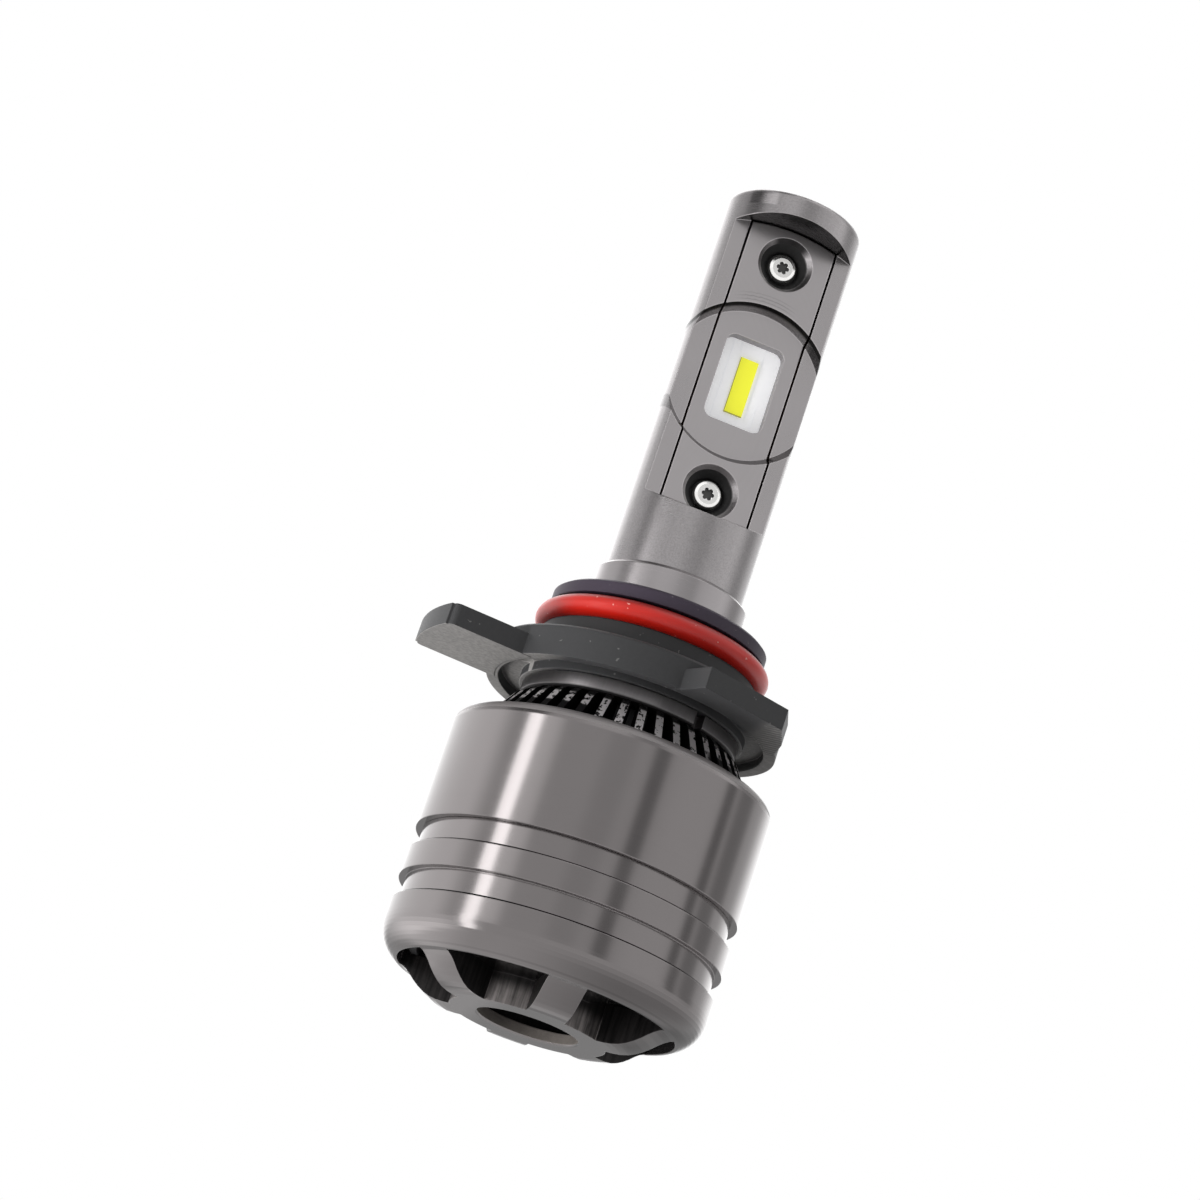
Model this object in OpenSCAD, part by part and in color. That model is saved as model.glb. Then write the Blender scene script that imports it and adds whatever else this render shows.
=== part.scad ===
// LED headlight bulb with a turning three-lug mounting collar and a fan-cooled heat sink.
// The axis is Z, the tip points up, and z = 0 is the upper face of the lugs, which seats in the lamp.

/* [Burner] */
// Diameter of the aluminium burner column
burner_d = 13.2; // [12.6:0.1:13.8]
// Height of the burner's tip above the seat
tip_z = 49.8; // [49:0.1:52]
// Radius of the tip's rounded edge
tip_edge_r = 0.7; // [0.3:0.1:1.2]
// Height of the light centre above the seat
light_z = 31.5; // [31:0.1:32]
// Distance of each milled flat from the axis
flat_y = 2.9; // [2.6:0.1:3.2]
// Height of the cap's underside in the middle of a flat
flat_top_z = 47.5; // [47:0.1:48]
// Radius of the arch that ends each flat under the cap
flat_arch_r = 17; // [14:0.5:20]
// Height of the ledge where the flats end above the neck
ledge_z = 18.1; // [17.8:0.1:18.4]
// Slope of the ledge away from each flat
ledge_slope = 20; // [5:1:25]
// Width of the slot between the two side rails
channel_w = 8.9; // [8.6:0.1:9.1]
// Gap between a cover and the side rails
cover_gap = 0.22; // [0.1:0.02:0.3]

/* [Light windows] */
// Radius of the round pocket about the light centre, in the plane of the flats
pocket_r = 7.95; // [7.6:0.05:8.2]
// Radius of the pocket at its floor
pocket_floor_r = 7.3; // [7:0.05:7.5]
// Distance of the pocket's floor from the axis
pocket_y = 1.9; // [1.7:0.1:2.1]
// Width of the window in a cover
window_w = 5.8; // [5.4:0.1:6.2]
// Height of the window in a cover
window_h = 8.7; // [8.2:0.1:9]
// Corner radius of the window
window_corner_r = 0.9; // [0.4:0.1:1.4]
// Width of the light-emitting strip
chip_w = 1.8; // [1.4:0.1:2]
// Height of the light-emitting strip
chip_h = 5.7; // [5:0.1:6.4]

/* [Cover screws] */
// Height of the upper screw in each cover
screw_upper_z = 44; // [42:0.1:44.4]
// Height of the lower screw in each cover
screw_lower_z = 20.15; // [20:0.05:22]
// Head diameter of a cover screw
screw_head_d = 2.85; // [2.6:0.05:3]
// Mouth diameter of the conical screw recess
recess_d = 5.35; // [5:0.05:5.6]

/* [Collar] */
// Diameter of the pilot that fits the lamp's hole
pilot_d = 20.5; // [20.2:0.1:20.8]
// Diameter of the collar's round flange
flange_d = 27.6; // [27:0.1:28.2]
// Height of the flange's top above the seat
flange_top_z = 1.1; // [0.8:0.1:1.4]
// Thickness of the lugs
lug_t = 2; // [1.8:0.1:2.4]
// Reach of the long lug from the axis
tongue_reach = 20.75; // [20:0.05:21.5]
// Width of the long lug
tongue_w = 10; // [9:0.1:10.6]
// Direction of the long lug
tongue_angle = 187; // [180:1:190]
// Reach of the two short lugs from the axis
ear_reach = 16.7; // [16.2:0.1:17.2]
// Width of the two short lugs
ear_w = 9.2; // [8.6:0.1:9.8]
// Diameter of the seal ring's section
seal_d = 2.14; // [2:0.02:2.3]

/* [Heat sink] */
// Number of fins
fin_count = 42; // [36:1:46]
// Turn of the fins about the axis, in degrees
fin_phase = 3.3; // [0:0.1:8]
// Thickness of a fin
fin_t = 0.7; // [0.5:0.05:0.8]
// Radius of the fins at the top of the flare
fin_top_r = 10.3; // [9.8:0.1:10.6]

/* [Housing] */
// Outer diameter of the housing
housing_d = 30.3; // [30:0.1:31]
// Height of the sleeve's top face
sleeve_top_z = -6.8; // [-7:0.1:-6.6]
// Height of the joint between sleeve and rear can
joint_z = -18; // [-18.2:0.1:-17.8]
// Depth of the two grip grooves
groove_depth = 0.65; // [0.4:0.05:0.9]
// Radius of the fan guard's rounded shoulder
shoulder_r = 3; // [2.8:0.1:3.2]
// Height of the rear face of the fan guard's hub
base_z = -32.1; // [-32.4:0.1:-31.8]
// Number of spokes in the fan guard
spoke_count = 6; // [5:1:8]
// Width of a spoke
spoke_w = 3.6; // [3:0.1:4]

/* [Fan] */
// Number of fan blades
blade_count = 9; // [7:1:11]
// Radius of the fan over its blades
blade_tip_r = 11.2; // [10.6:0.1:11.4]
// Pitch of a blade from the plane of rotation
blade_pitch = 38; // [30:1:45]

/* [Hidden] */
eps = 0.01;

// Burner
burner_r = burner_d / 2;
stem_r = 5;
stem_bottom_z = -3;
stem_play = 0.02;
core_half_t = 0.4;
board_top_y = 0.75;
chip_top_y = 0.95;
cover_w = channel_w - 2 * cover_gap;
screw_zs = [screw_upper_z, screw_lower_z];
screw_seat_y = 1.25;
screw_head_top_y = 2.05;
screw_shank_r = 0.7;
recess_floor_r = 1.6;
window_z = light_z + 0.25;
strip_z = light_z + 0.15;
board_gap = 0.02;
board_lap = 0.4;
wire_hole_r = 1.5;

// Collar and its bearing on the heat sink's boss
boss_r = 6.9;
collar_bore_r = boss_r + 0.05;
collar_top_z = 7.25;
collar_bottom_z = -1.95;
neck_ring_z = 7.3;
neck_ring_top_z = 10.7;
neck_ring_r = 7.25;
pilot_r = pilot_d / 2;
flange_r = flange_d / 2;
seal_groove_bottom_z = 3.45;
seal_groove_top_z = 5.9;
seal_groove_r = 9;
seal_z = seal_groove_bottom_z + seal_d / 2 + eps;
grip_d = 0.7;
grip_groove_r = 7.7;
grip_groove_z = [2.6, 3.4];
underside_recess_r = [10.6, 12.75];
underside_recess_z = -1.1;
vent_r = 1;
vent_at_r = 11.65;
vent_angle = 192;
ear_angles = [-66.3, 67];
lock_ring_top_z = -2;
lock_ring_bottom_z = -3.4;
lock_ring_r = 10.3;
spanner_phase = -64.5;
spanner_slot_r = 9.2;
spanner_slot_w = 1;

// Heat sink and housing
housing_r = housing_d / 2;
sleeve_bore_r = 13.4;
sink_plate_top_z = -14.5;
sink_plate_bottom_z = -16.5;
sink_plate_r = 13.35;
sink_core_r = 8;
post_at_r = 9.5;
post_r = 1.4;
post_angles = [30, 150, 270];
board_screw_r = 0.7;
cable_passage_r = 2;
fin_top_z = -3.5;
sleeve_edge_r = 1.2;
groove_1_bottom_z = -20.2;
groove_2_top_z = -22.8;
groove_2_bottom_z = -25;
edge_chamfer = 0.15;
can_bore_r = 12.2;
board_bore_r = 12.7;
board_seat_z = -19.6;
board_t = 1;
can_floor_z = -28.6;
guard_spigot_r = 13.35;
guard_spigot_z = -24.2;
guard_play = 0.05;
shoulder_z = -26.9;
guard_window_r = [7.3, 13];
hub_bore_r = 4.7;
hub_cavity_r = 6;
hub_cavity_z = -31;
spoke_phase = -90.3;
web_z = -29.4;
web_angles = [-135, -62];

// Fan
frame_top_z = -27.6;
frame_r = 12.15;
frame_bore_r = 11.5;
tube_r = 2.2;
tube_bore_r = 1.5;
tube_top_z = -23.4;
shaft_r = 0.75;
stator_r = 4.75;
magnet_bore_r = 5.05;
cup_r = 6.2;
cup_wall = 0.6;
cup_bottom_z = -27.3;
cup_top_z = -21.5;

// Cable inlet at the back of the rear can
inlet_z = -21.8;
inlet_hole_w = 4;
inlet_seat_w = 5.4;
inlet_corner_r = 0.8;
inlet_bore_r = 1.5;
inlet_face_y = 14.4;

// Points of an arc from angle a to angle b about [x, y]
function arc(x, y, r, a, b, n) = [
    for (i = [0:n]) [x + r * cos(a + (b - a) * i / n), y + r * sin(a + (b - a) * i / n)]];

// Turns a revolved outline of [radius, height] points about the lamp's axis
module turned(outline) {
    rotate_extrude($fn = 96) polygon(outline);
}

// Carries a flat [x, z] outline from depth y0 to depth y1 in front of the axis
module front_slab(y0, y1) {
    translate([0, -y0, 0]) rotate([90, 0, 0]) linear_extrude(height = y1 - y0) children();
}

// Round bar that points to the front, from depth y0 to depth y1
module front_rod(z, r, y0, y1, fn = 64) {
    translate([0, -y0, z]) rotate([90, 0, 0]) cylinder(r = r, h = y1 - y0, $fn = fn);
}

// Outline between the neck's ledge and the arched underside of the cap
module flat_outline(half_w, arch_gap = 0, drop = 0) {
    intersection() {
        translate([-half_w, ledge_z - drop]) square([2 * half_w, flat_top_z]);
        translate([0, flat_top_z - flat_arch_r]) circle(r = flat_arch_r - arch_gap, $fn = 180);
    }
}

// Space milled away in front of a flat, down to a ledge that slopes outwards
module flat_space() {
    reach = burner_r + 1;
    drop = (reach - flat_y) * tan(ledge_slope);
    intersection() {
        front_slab(flat_y, reach) flat_outline(reach, 0, drop);
        rotate([90, 0, 90]) translate([0, 0, -reach]) linear_extrude(height = 2 * reach)
            polygon([[eps - flat_y, ledge_z], [-reach - eps, ledge_z - drop],
                     [-reach - eps, tip_z], [eps - flat_y, tip_z]]);
    }
}

// Round pocket about the light centre, its wall widening towards the flat
module light_pocket() {
    depth = flat_y - pocket_y;
    widening = pocket_r - pocket_floor_r;
    translate([0, -pocket_y, light_z]) rotate([90, 0, 0])
        cylinder(r1 = pocket_floor_r, r2 = pocket_floor_r + 2 * widening, h = 2 * depth, $fn = 128);
}

// Rectangle with rounded corners, centred on the origin
module rounded_rectangle(w, h, r) {
    square([w - 2 * r, h], center = true);
    square([w, h - 2 * r], center = true);
    for (x = [-1, 1]) {
        for (y = [-1, 1]) {
            translate([x * (w / 2 - r), y * (h / 2 - r)]) circle(r = r, $fn = 32);
        }
    }
}

// Column with a full-round cap and neck, two milled flats and an open slot between two side rails
module burner_column() {
    color([0.59, 0.57, 0.58])
    difference() {
        turned(concat(
            [[0, stem_bottom_z], [stem_r, stem_bottom_z], [stem_r, neck_ring_top_z],
             [burner_r, neck_ring_top_z]],
            arc(burner_r - tip_edge_r, tip_z - tip_edge_r, tip_edge_r, 0, 90, 5),
            [[0, tip_z]]));
        // passage for the wires of the light strips, up to the ledge
        translate([0, 0, stem_bottom_z - 1])
            cylinder(r = wire_hole_r, h = ledge_z - stem_bottom_z + 2, $fn = 48);
        for (side = [0, 180]) {
            rotate([0, 0, side]) {
                flat_space();
                front_slab(-eps, flat_y + eps) flat_outline(channel_w / 2);
                light_pocket();
            }
        }
    }
}

// Copper plate that carries the heat of both light strips down to the neck
module copper_core() {
    color([0.72, 0.43, 0.26])
    difference() {
        front_slab(-core_half_t, core_half_t) flat_outline(channel_w / 2, 0.1);
        for (z = screw_zs) {
            front_rod(z, screw_shank_r + 0.05, -1, 1, 32);
        }
    }
}

// White board behind a window
module led_board() {
    front_slab(core_half_t, board_top_y)
        translate([0, window_z])
            square([window_w + 2 * board_lap, window_h + 2 * board_lap], center = true);
}

// Light-emitting strip on a board
module led_strip() {
    front_slab(board_top_y, chip_top_y)
        translate([0, strip_z]) square([chip_w, chip_h], center = true);
}

// Cover between the side rails, with a window and two conical screw recesses
module led_cover() {
    difference() {
        front_slab(core_half_t, flat_y) flat_outline(cover_w / 2, 0.1);
        light_pocket();
        front_slab(0, flat_y) translate([0, window_z])
            rounded_rectangle(window_w, window_h, window_corner_r);
        front_slab(0, board_top_y + board_gap) translate([0, window_z])
            square([window_w + 2 * (board_lap + board_gap), window_h + 2 * (board_lap + board_gap)],
                   center = true);
        for (z = screw_zs) {
            front_rod(z, screw_shank_r + 0.1, 0, flat_y, 32);
            front_rod(z, recess_floor_r, screw_seat_y, flat_y + 1);
            translate([0, -flat_y, z]) rotate([-90, 0, 0])
                cylinder(r1 = recess_d / 2, r2 = recess_floor_r, h = flat_y - screw_seat_y - 0.3,
                         $fn = 64);
        }
    }
}

// Pan-head screws of one cover, seated on the recess floors
module cover_screws() {
    head_r = screw_head_d / 2;
    head_h = screw_head_top_y - screw_seat_y;
    for (z = screw_zs) {
        translate([0, -screw_seat_y, z]) rotate([90, 0, 0]) difference() {
            union() {
                rotate_extrude($fn = 48) polygon([
                    [0, 0], [head_r, 0], [head_r, head_h * 0.6], [head_r - 0.18, head_h * 0.88],
                    [head_r - 0.45, head_h], [0, head_h]]);
                translate([0, 0, 0.05 - screw_seat_y])
                    cylinder(r = screw_shank_r, h = screw_seat_y, $fn = 32);
            }
            for (k = [0:5]) {
                rotate([0, 0, 60 * k]) translate([0.42, 0, head_h - 0.35])
                    cylinder(r = 0.2, h = 1, $fn = 16);
            }
            translate([0, 0, head_h - 0.35]) cylinder(r = 0.42, h = 1, $fn = 24);
        }
    }
}

module led_board_front() { color([0.95, 0.95, 0.96]) led_board(); }
module led_board_rear() { color([0.95, 0.95, 0.96]) rotate([0, 0, 180]) led_board(); }
module led_strip_front() { color([0.98, 0.98, 0.35]) led_strip(); }
module led_strip_rear() { color([0.98, 0.98, 0.35]) rotate([0, 0, 180]) led_strip(); }
module led_cover_front() { color([0.57, 0.55, 0.56]) led_cover(); }
module led_cover_rear() { color([0.57, 0.55, 0.56]) rotate([0, 0, 180]) led_cover(); }
module cover_screws_front() { color([0.88, 0.88, 0.88]) cover_screws(); }
module cover_screws_rear() { color([0.88, 0.88, 0.88]) rotate([0, 0, 180]) cover_screws(); }

// Ring under the neck that keeps the collar on the boss
module neck_ring() {
    color([0.55, 0.53, 0.53])
    turned([[stem_r + stem_play, neck_ring_z], [neck_ring_r, neck_ring_z],
            [neck_ring_r, neck_ring_top_z - 0.35], [neck_ring_r - 0.35, neck_ring_top_z],
            [stem_r + stem_play, neck_ring_top_z]]);
}

// One short lug, its radial sides parallel
module ear_outline() {
    translate([0, -ear_w / 2]) square([ear_reach, ear_w]);
}

// Flat outline of the three lugs, seen from the tip
module lug_outline() {
    rotate(tongue_angle) intersection() {
        circle(r = tongue_reach, $fn = 180);
        union() {
            translate([0, -tongue_w / 2]) square([tongue_reach - 1.3, tongue_w]);
            translate([0, 0.6 - tongue_w / 2]) square([tongue_reach, tongue_w - 1.2]);
            for (s = [-1, 1]) {
                translate([tongue_reach - 1.3, s * (tongue_w / 2 - 0.6)]) circle(r = 0.6, $fn = 32);
            }
        }
    }
    for (a = ear_angles) {
        rotate(a) ear_outline();
        // web that runs from the lug's corner to the flange's rim
        rotate(a) polygon([[0, 0], [ear_reach, ear_w / 2], [13.2, 7.6], [10.1, 9.4], [0, 4]]);
    }
}

// Moulded collar: pilot with a seal groove, flange, three lugs, recessed underside and vent hole
module mount_collar() {
    color([0.2, 0.2, 0.2])
    difference() {
        union() {
            turned([[collar_bore_r, collar_bottom_z], [flange_r, collar_bottom_z],
                    [flange_r, flange_top_z - 0.25], [flange_r - 0.25, flange_top_z],
                    [pilot_r, flange_top_z], [pilot_r, seal_groove_bottom_z],
                    [seal_groove_r, seal_groove_bottom_z], [seal_groove_r, seal_groove_top_z],
                    [pilot_r, seal_groove_top_z], [pilot_r, collar_top_z - 0.25],
                    [pilot_r - 0.3, collar_top_z], [collar_bore_r, collar_top_z]]);
            translate([0, 0, -lug_t]) linear_extrude(height = lug_t) difference() {
                lug_outline();
                circle(r = flange_r - 0.8, $fn = 96);
            }
        }
        // recess in the underside between hub and rim
        turned([[underside_recess_r[0], collar_bottom_z - 1],
                [underside_recess_r[1], collar_bottom_z - 1],
                [underside_recess_r[1] - 0.15, underside_recess_z],
                [underside_recess_r[0] + 0.1, underside_recess_z]]);
        // hole through the flange beside the long lug
        rotate(vent_angle) translate([vent_at_r, 0, collar_bottom_z - 3])
            cylinder(r = vent_r, h = 10, $fn = 32);
        // groove for the grip ring inside the bore
        turned([[collar_bore_r - 1, grip_groove_z[0]], [grip_groove_r, grip_groove_z[0]],
                [grip_groove_r, grip_groove_z[1]], [collar_bore_r - 1, grip_groove_z[1]]]);
    }
}

// Red rubber seal in the pilot's groove
module seal_ring() {
    color([0.87, 0.2, 0.14])
    rotate_extrude($fn = 96)
        translate([seal_groove_r + seal_d / 2 + eps, seal_z]) circle(r = seal_d / 2, $fn = 32);
}

// Rubber ring in the collar's bore that holds the collar where it is turned
module grip_ring() {
    color([0.1, 0.1, 0.1])
    rotate_extrude($fn = 96)
        translate([grip_groove_r - grip_d / 2 - eps, grip_groove_z[0] + grip_d / 2 + eps])
            circle(r = grip_d / 2, $fn = 24);
}

// Threaded ring under the collar, with three spanner slots
module lock_ring() {
    color([0.42, 0.42, 0.43])
    difference() {
        turned([[boss_r, lock_ring_bottom_z], [lock_ring_r - 0.2, lock_ring_bottom_z],
                [lock_ring_r, lock_ring_bottom_z + 0.2], [lock_ring_r, lock_ring_top_z],
                [boss_r, lock_ring_top_z]]);
        for (k = [0:2]) {
            rotate([0, 0, spanner_phase + 120 * k])
                translate([spanner_slot_r, -spanner_slot_w / 2, lock_ring_bottom_z - 1])
                    cube([3, spanner_slot_w, 4]);
        }
    }
}

// Outline of the heat sink before its fins are cut: base plate, flare, and boss for the collar
function sink_outline() = [
    [0, sink_plate_bottom_z], [sink_plate_r, sink_plate_bottom_z],
    [sink_plate_r, fin_top_z - 4.1], [fin_top_r + 1.36, fin_top_z - 1.6],
    [fin_top_r + 0.6, fin_top_z - 0.45], [fin_top_r, fin_top_z], [0, fin_top_z]];

// Gap between two neighbouring fins, wider towards the rim
module fin_gap() {
    half_pitch = 180 / fin_count;
    core_half_w = (sink_core_r * sin(half_pitch) - fin_t / 2) / cos(half_pitch);
    rim_half_w = (housing_r * sin(half_pitch) - fin_t / 2) / cos(half_pitch);
    translate([0, 0, sink_plate_top_z]) linear_extrude(height = fin_top_z - sink_plate_top_z + 1)
        polygon([[sink_core_r, -core_half_w], [housing_r, -rim_half_w],
                 [housing_r, rim_half_w], [sink_core_r, core_half_w]]);
}

// Heat sink: solid core, flared radial fins, base plate and board posts
module finned_heatsink() {
    color([0.1, 0.1, 0.1])
    difference() {
        union() {
            turned(sink_outline());
            for (a = post_angles) {
                rotate([0, 0, a]) translate([post_at_r, 0, board_seat_z + board_t])
                    cylinder(r = post_r, h = 4, $fn = 32);
            }
        }
        for (k = [0:fin_count - 1]) {
            rotate([0, 0, fin_phase + 360 * k / fin_count]) fin_gap();
        }
        for (a = post_angles) {
            rotate([0, 0, a]) translate([post_at_r, 0, board_seat_z])
                cylinder(r = board_screw_r + 0.05, h = 4.5, $fn = 32);
        }
        // passage for the wires to the light strips
        translate([0, 0, sink_plate_bottom_z - 1])
            cylinder(r = cable_passage_r, h = 20, $fn = 48);
    }
}

// Boss on top of the heat sink: the collar turns on it and the burner's stem stands in it
module collar_boss() {
    color([0.1, 0.1, 0.1])
    difference() {
        translate([0, 0, fin_top_z]) cylinder(r = boss_r, h = neck_ring_z - fin_top_z, $fn = 96);
        translate([0, 0, stem_bottom_z]) cylinder(r = stem_r + stem_play, h = 20, $fn = 96);
        translate([0, 0, fin_top_z - 1]) cylinder(r = cable_passage_r, h = 2, $fn = 48);
    }
}

// Upper housing: a turned tube with a rounded shoulder
module housing_sleeve() {
    color([0.46, 0.45, 0.45])
    turned(concat(
        [[sleeve_bore_r, joint_z], [housing_r, joint_z]],
        arc(housing_r - sleeve_edge_r, sleeve_top_z - sleeve_edge_r, sleeve_edge_r, 0, 90, 6),
        [[sleeve_bore_r, sleeve_top_z]]));
}

// Square block with rounded corners that lies across the wall at the cable inlet, from y0 to y1
module inlet_block(w, y0, y1) {
    translate([0, y0, inlet_z]) rotate([-90, 0, 0]) linear_extrude(height = y1 - y0)
        rounded_rectangle(w, w, inlet_corner_r);
}

// Rear can: spigot, two grip grooves, board seat, counterbore for the guard and cable inlet
module rear_can() {
    groove_r = housing_r - groove_depth;
    color([0.45, 0.44, 0.44])
    difference() {
        turned([
            [board_bore_r, sink_plate_bottom_z], [sink_plate_r, sink_plate_bottom_z],
            [sink_plate_r, joint_z], [groove_r, joint_z], [groove_r, groove_1_bottom_z],
            [housing_r - edge_chamfer, groove_1_bottom_z],
            [housing_r, groove_1_bottom_z - edge_chamfer], [housing_r, groove_2_top_z],
            [groove_r, groove_2_top_z], [groove_r, groove_2_bottom_z],
            [guard_spigot_r + guard_play, groove_2_bottom_z],
            [guard_spigot_r + guard_play, guard_spigot_z], [can_bore_r, guard_spigot_z],
            [can_bore_r, board_seat_z], [board_bore_r, board_seat_z]]);
        inlet_block(inlet_hole_w, 10, 20);
        inlet_block(inlet_seat_w, inlet_face_y, 20);
    }
}

// Section of the fan guard: spigot, rounded shoulder, S-shaped dip to the hub, and the hub's bore
function guard_outline() = concat(
    [[can_bore_r, guard_spigot_z], [guard_spigot_r, guard_spigot_z],
     [guard_spigot_r, groove_2_bottom_z], [housing_r - edge_chamfer, groove_2_bottom_z],
     [housing_r, groove_2_bottom_z - edge_chamfer]],
    arc(housing_r - shoulder_r, shoulder_z, shoulder_r, 0, -67, 9),
    [[12.7, base_z + 2.32], [12.2, base_z + 2.05], [11.7, base_z + 1.68], [11.2, base_z + 1.24],
     [10.6, base_z + 0.8], [10, base_z + 0.45], [9.4, base_z + 0.2], [8.7, base_z + 0.05],
     [8, base_z], [hub_bore_r + 0.15, base_z], [hub_bore_r, base_z + 0.15],
     [hub_bore_r, hub_cavity_z], [hub_cavity_r, hub_cavity_z], [hub_cavity_r, can_floor_z],
     [can_bore_r, can_floor_z]]);

// Bars that stay standing between the guard's windows
module spoke_bars() {
    for (k = [0:spoke_count - 1]) {
        rotate([0, 0, spoke_phase + 360 * k / spoke_count]) translate([0, -spoke_w / 2, -45])
            cube([20, spoke_w, 40]);
    }
}

// Sector that closes part of the windows behind the front spoke
module guard_web() {
    sector = [for (i = [0:4]) web_angles[0] + (web_angles[1] - web_angles[0]) * i / 4];
    translate([0, 0, web_z]) linear_extrude(height = 10)
        polygon(concat([[0, 0]], [for (a = sector) [20 * cos(a), 20 * sin(a)]]));
}

// Fan guard: the can's rounded end, milled through between the spokes
module fan_guard() {
    color([0.45, 0.44, 0.44])
    difference() {
        turned(guard_outline());
        difference() {
            translate([0, 0, -40]) cylinder(r = guard_window_r[1], h = can_floor_z + 40.3, $fn = 96);
            translate([0, 0, -41]) cylinder(r = guard_window_r[0], h = 42, $fn = 96);
            spoke_bars();
            guard_web();
        }
    }
}

// Round driver board, seated on the can's step
module driver_board() {
    color([0.07, 0.25, 0.14])
    difference() {
        translate([0, 0, board_seat_z]) cylinder(r = board_bore_r - 0.1, h = board_t, $fn = 96);
        translate([0, 0, board_seat_z - 1]) cylinder(r = cable_passage_r, h = 4, $fn = 48);
        for (a = post_angles) {
            rotate([0, 0, a]) translate([post_at_r, 0, board_seat_z - 1])
                cylinder(r = board_screw_r + 0.05, h = 4, $fn = 32);
        }
    }
}

// Coil, capacitors and chips soldered to the driver board
module driver_parts() {
    color([0.16, 0.16, 0.17]) {
        translate([-8.6, -2.6, board_seat_z + board_t]) cube([5.2, 5.2, 1.8]);
        translate([3.2, -3.2, board_seat_z + board_t]) cube([4.4, 3.4, 1.2]);
        for (x = [3.4, 5.8]) {
            translate([x, 0.7, board_seat_z + board_t]) cube([1.6, 2.4, 1]);
        }
        for (a = [80, 110]) {
            rotate([0, 0, a]) translate([8.6, 0, board_seat_z - 1.4])
                cylinder(r = 1.6, h = 1.4, $fn = 32);
        }
        translate([-2.2, -7.6, board_seat_z - 1]) cube([4.4, 3, 1]);
    }
}

// Three screws that hold the driver board to the heat sink's posts
module board_screws() {
    color([0.75, 0.75, 0.76])
    for (a = post_angles) {
        rotate([0, 0, a]) translate([post_at_r, 0, board_seat_z]) difference() {
            union() {
                cylinder(r = board_screw_r, h = 4, $fn = 32);
                translate([0, 0, -0.7]) cylinder(r1 = 1.1, r2 = 1.3, h = 0.7, $fn = 32);
            }
            translate([-0.9, -0.15, -1]) cube([1.8, 0.3, 0.6]);
            translate([-0.15, -0.9, -1]) cube([0.3, 1.8, 0.6]);
        }
    }
}

// Fan frame: outer ring, four broad arms, motor base and bearing tube in one moulding
module fan_frame() {
    color([0.09, 0.09, 0.09])
    difference() {
        union() {
            translate([0, 0, can_floor_z]) difference() {
                cylinder(r = frame_r, h = frame_top_z - can_floor_z, $fn = 96);
                translate([0, 0, -1]) cylinder(r = frame_bore_r, h = 4, $fn = 96);
            }
            translate([0, 0, can_floor_z]) cylinder(r = 5.4, h = frame_top_z - can_floor_z, $fn = 64);
            for (k = [0:3]) {
                rotate([0, 0, 20 + 90 * k]) translate([4, -1.1, can_floor_z])
                    cube([frame_bore_r - 3.8, 2.2, frame_top_z - can_floor_z]);
            }
            translate([0, 0, frame_top_z - 0.5])
                cylinder(r = tube_r, h = tube_top_z - frame_top_z + 0.5, $fn = 48);
        }
        translate([0, 0, can_floor_z + 0.5]) cylinder(r = tube_bore_r, h = 10, $fn = 48);
    }
}

// Two sintered bearings in the fan frame's tube
module fan_bearings() {
    color([0.62, 0.5, 0.3])
    for (z = [can_floor_z + 0.55, tube_top_z - 1.8]) {
        translate([0, 0, z]) difference() {
            cylinder(r = tube_bore_r, h = 1.8, $fn = 48);
            translate([0, 0, -1]) cylinder(r = shaft_r + 0.03, h = 4, $fn = 48);
        }
    }
}

// Four-pole stator pressed on the bearing tube
module fan_stator() {
    color([0.6, 0.36, 0.2])
    translate([0, 0, frame_top_z + 0.3]) difference() {
        union() {
            cylinder(r = 3, h = 3.6, $fn = 48);
            for (k = [0:3]) {
                rotate([0, 0, 45 + 90 * k]) {
                    translate([0, -0.7, 0.4]) cube([4.4, 1.4, 2.8]);
                    intersection() {
                        difference() {
                            cylinder(r = stator_r, h = 3.6, $fn = 64);
                            translate([0, 0, -1]) cylinder(r = 4.2, h = 6, $fn = 64);
                        }
                        translate([0, -2.2, -1]) cube([6, 4.4, 6]);
                    }
                }
            }
        }
        translate([0, 0, -1]) cylinder(r = tube_r, h = 6, $fn = 48);
    }
}

// Fan impeller: cup-shaped hub with pitched blades
module fan_impeller() {
    cup_inner_r = cup_r - cup_wall;
    blade_h = 5.2;
    blade_z = (cup_bottom_z + cup_top_z) / 2;
    color([0.08, 0.08, 0.08])
    difference() {
        union() {
            translate([0, 0, cup_bottom_z]) cylinder(r = cup_r, h = cup_top_z - cup_bottom_z, $fn = 96);
            intersection() {
                translate([0, 0, blade_z - blade_h / 2]) difference() {
                    cylinder(r = blade_tip_r, h = blade_h, $fn = 96);
                    translate([0, 0, -1]) cylinder(r = cup_r - 0.3, h = blade_h + 2, $fn = 96);
                }
                for (k = [0:blade_count - 1]) {
                    rotate([0, 0, 360 * k / blade_count]) translate([0, 0, blade_z])
                        rotate([90 - blade_pitch, 0, 0]) translate([cup_r - 1, -0.35, -6])
                            cube([blade_tip_r, 0.7, 12]);
                }
            }
        }
        translate([0, 0, cup_bottom_z - 1])
            cylinder(r = cup_inner_r, h = cup_top_z - cup_bottom_z + 0.2, $fn = 96);
        translate([0, 0, cup_bottom_z]) cylinder(r = shaft_r, h = 10, $fn = 48);
    }
}

// Ring magnet inside the impeller's cup
module fan_magnet() {
    color([0.25, 0.25, 0.26])
    translate([0, 0, frame_top_z + 0.5]) difference() {
        cylinder(r = cup_r - cup_wall, h = 3.6, $fn = 96);
        translate([0, 0, -1]) cylinder(r = magnet_bore_r, h = 6, $fn = 96);
    }
}

// Fan shaft, fixed in the impeller and running in both bearings
module fan_shaft() {
    color([0.8, 0.8, 0.8])
    translate([0, 0, can_floor_z + 0.6]) cylinder(r = shaft_r, h = cup_top_z - can_floor_z - 0.6, $fn = 48);
}

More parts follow.
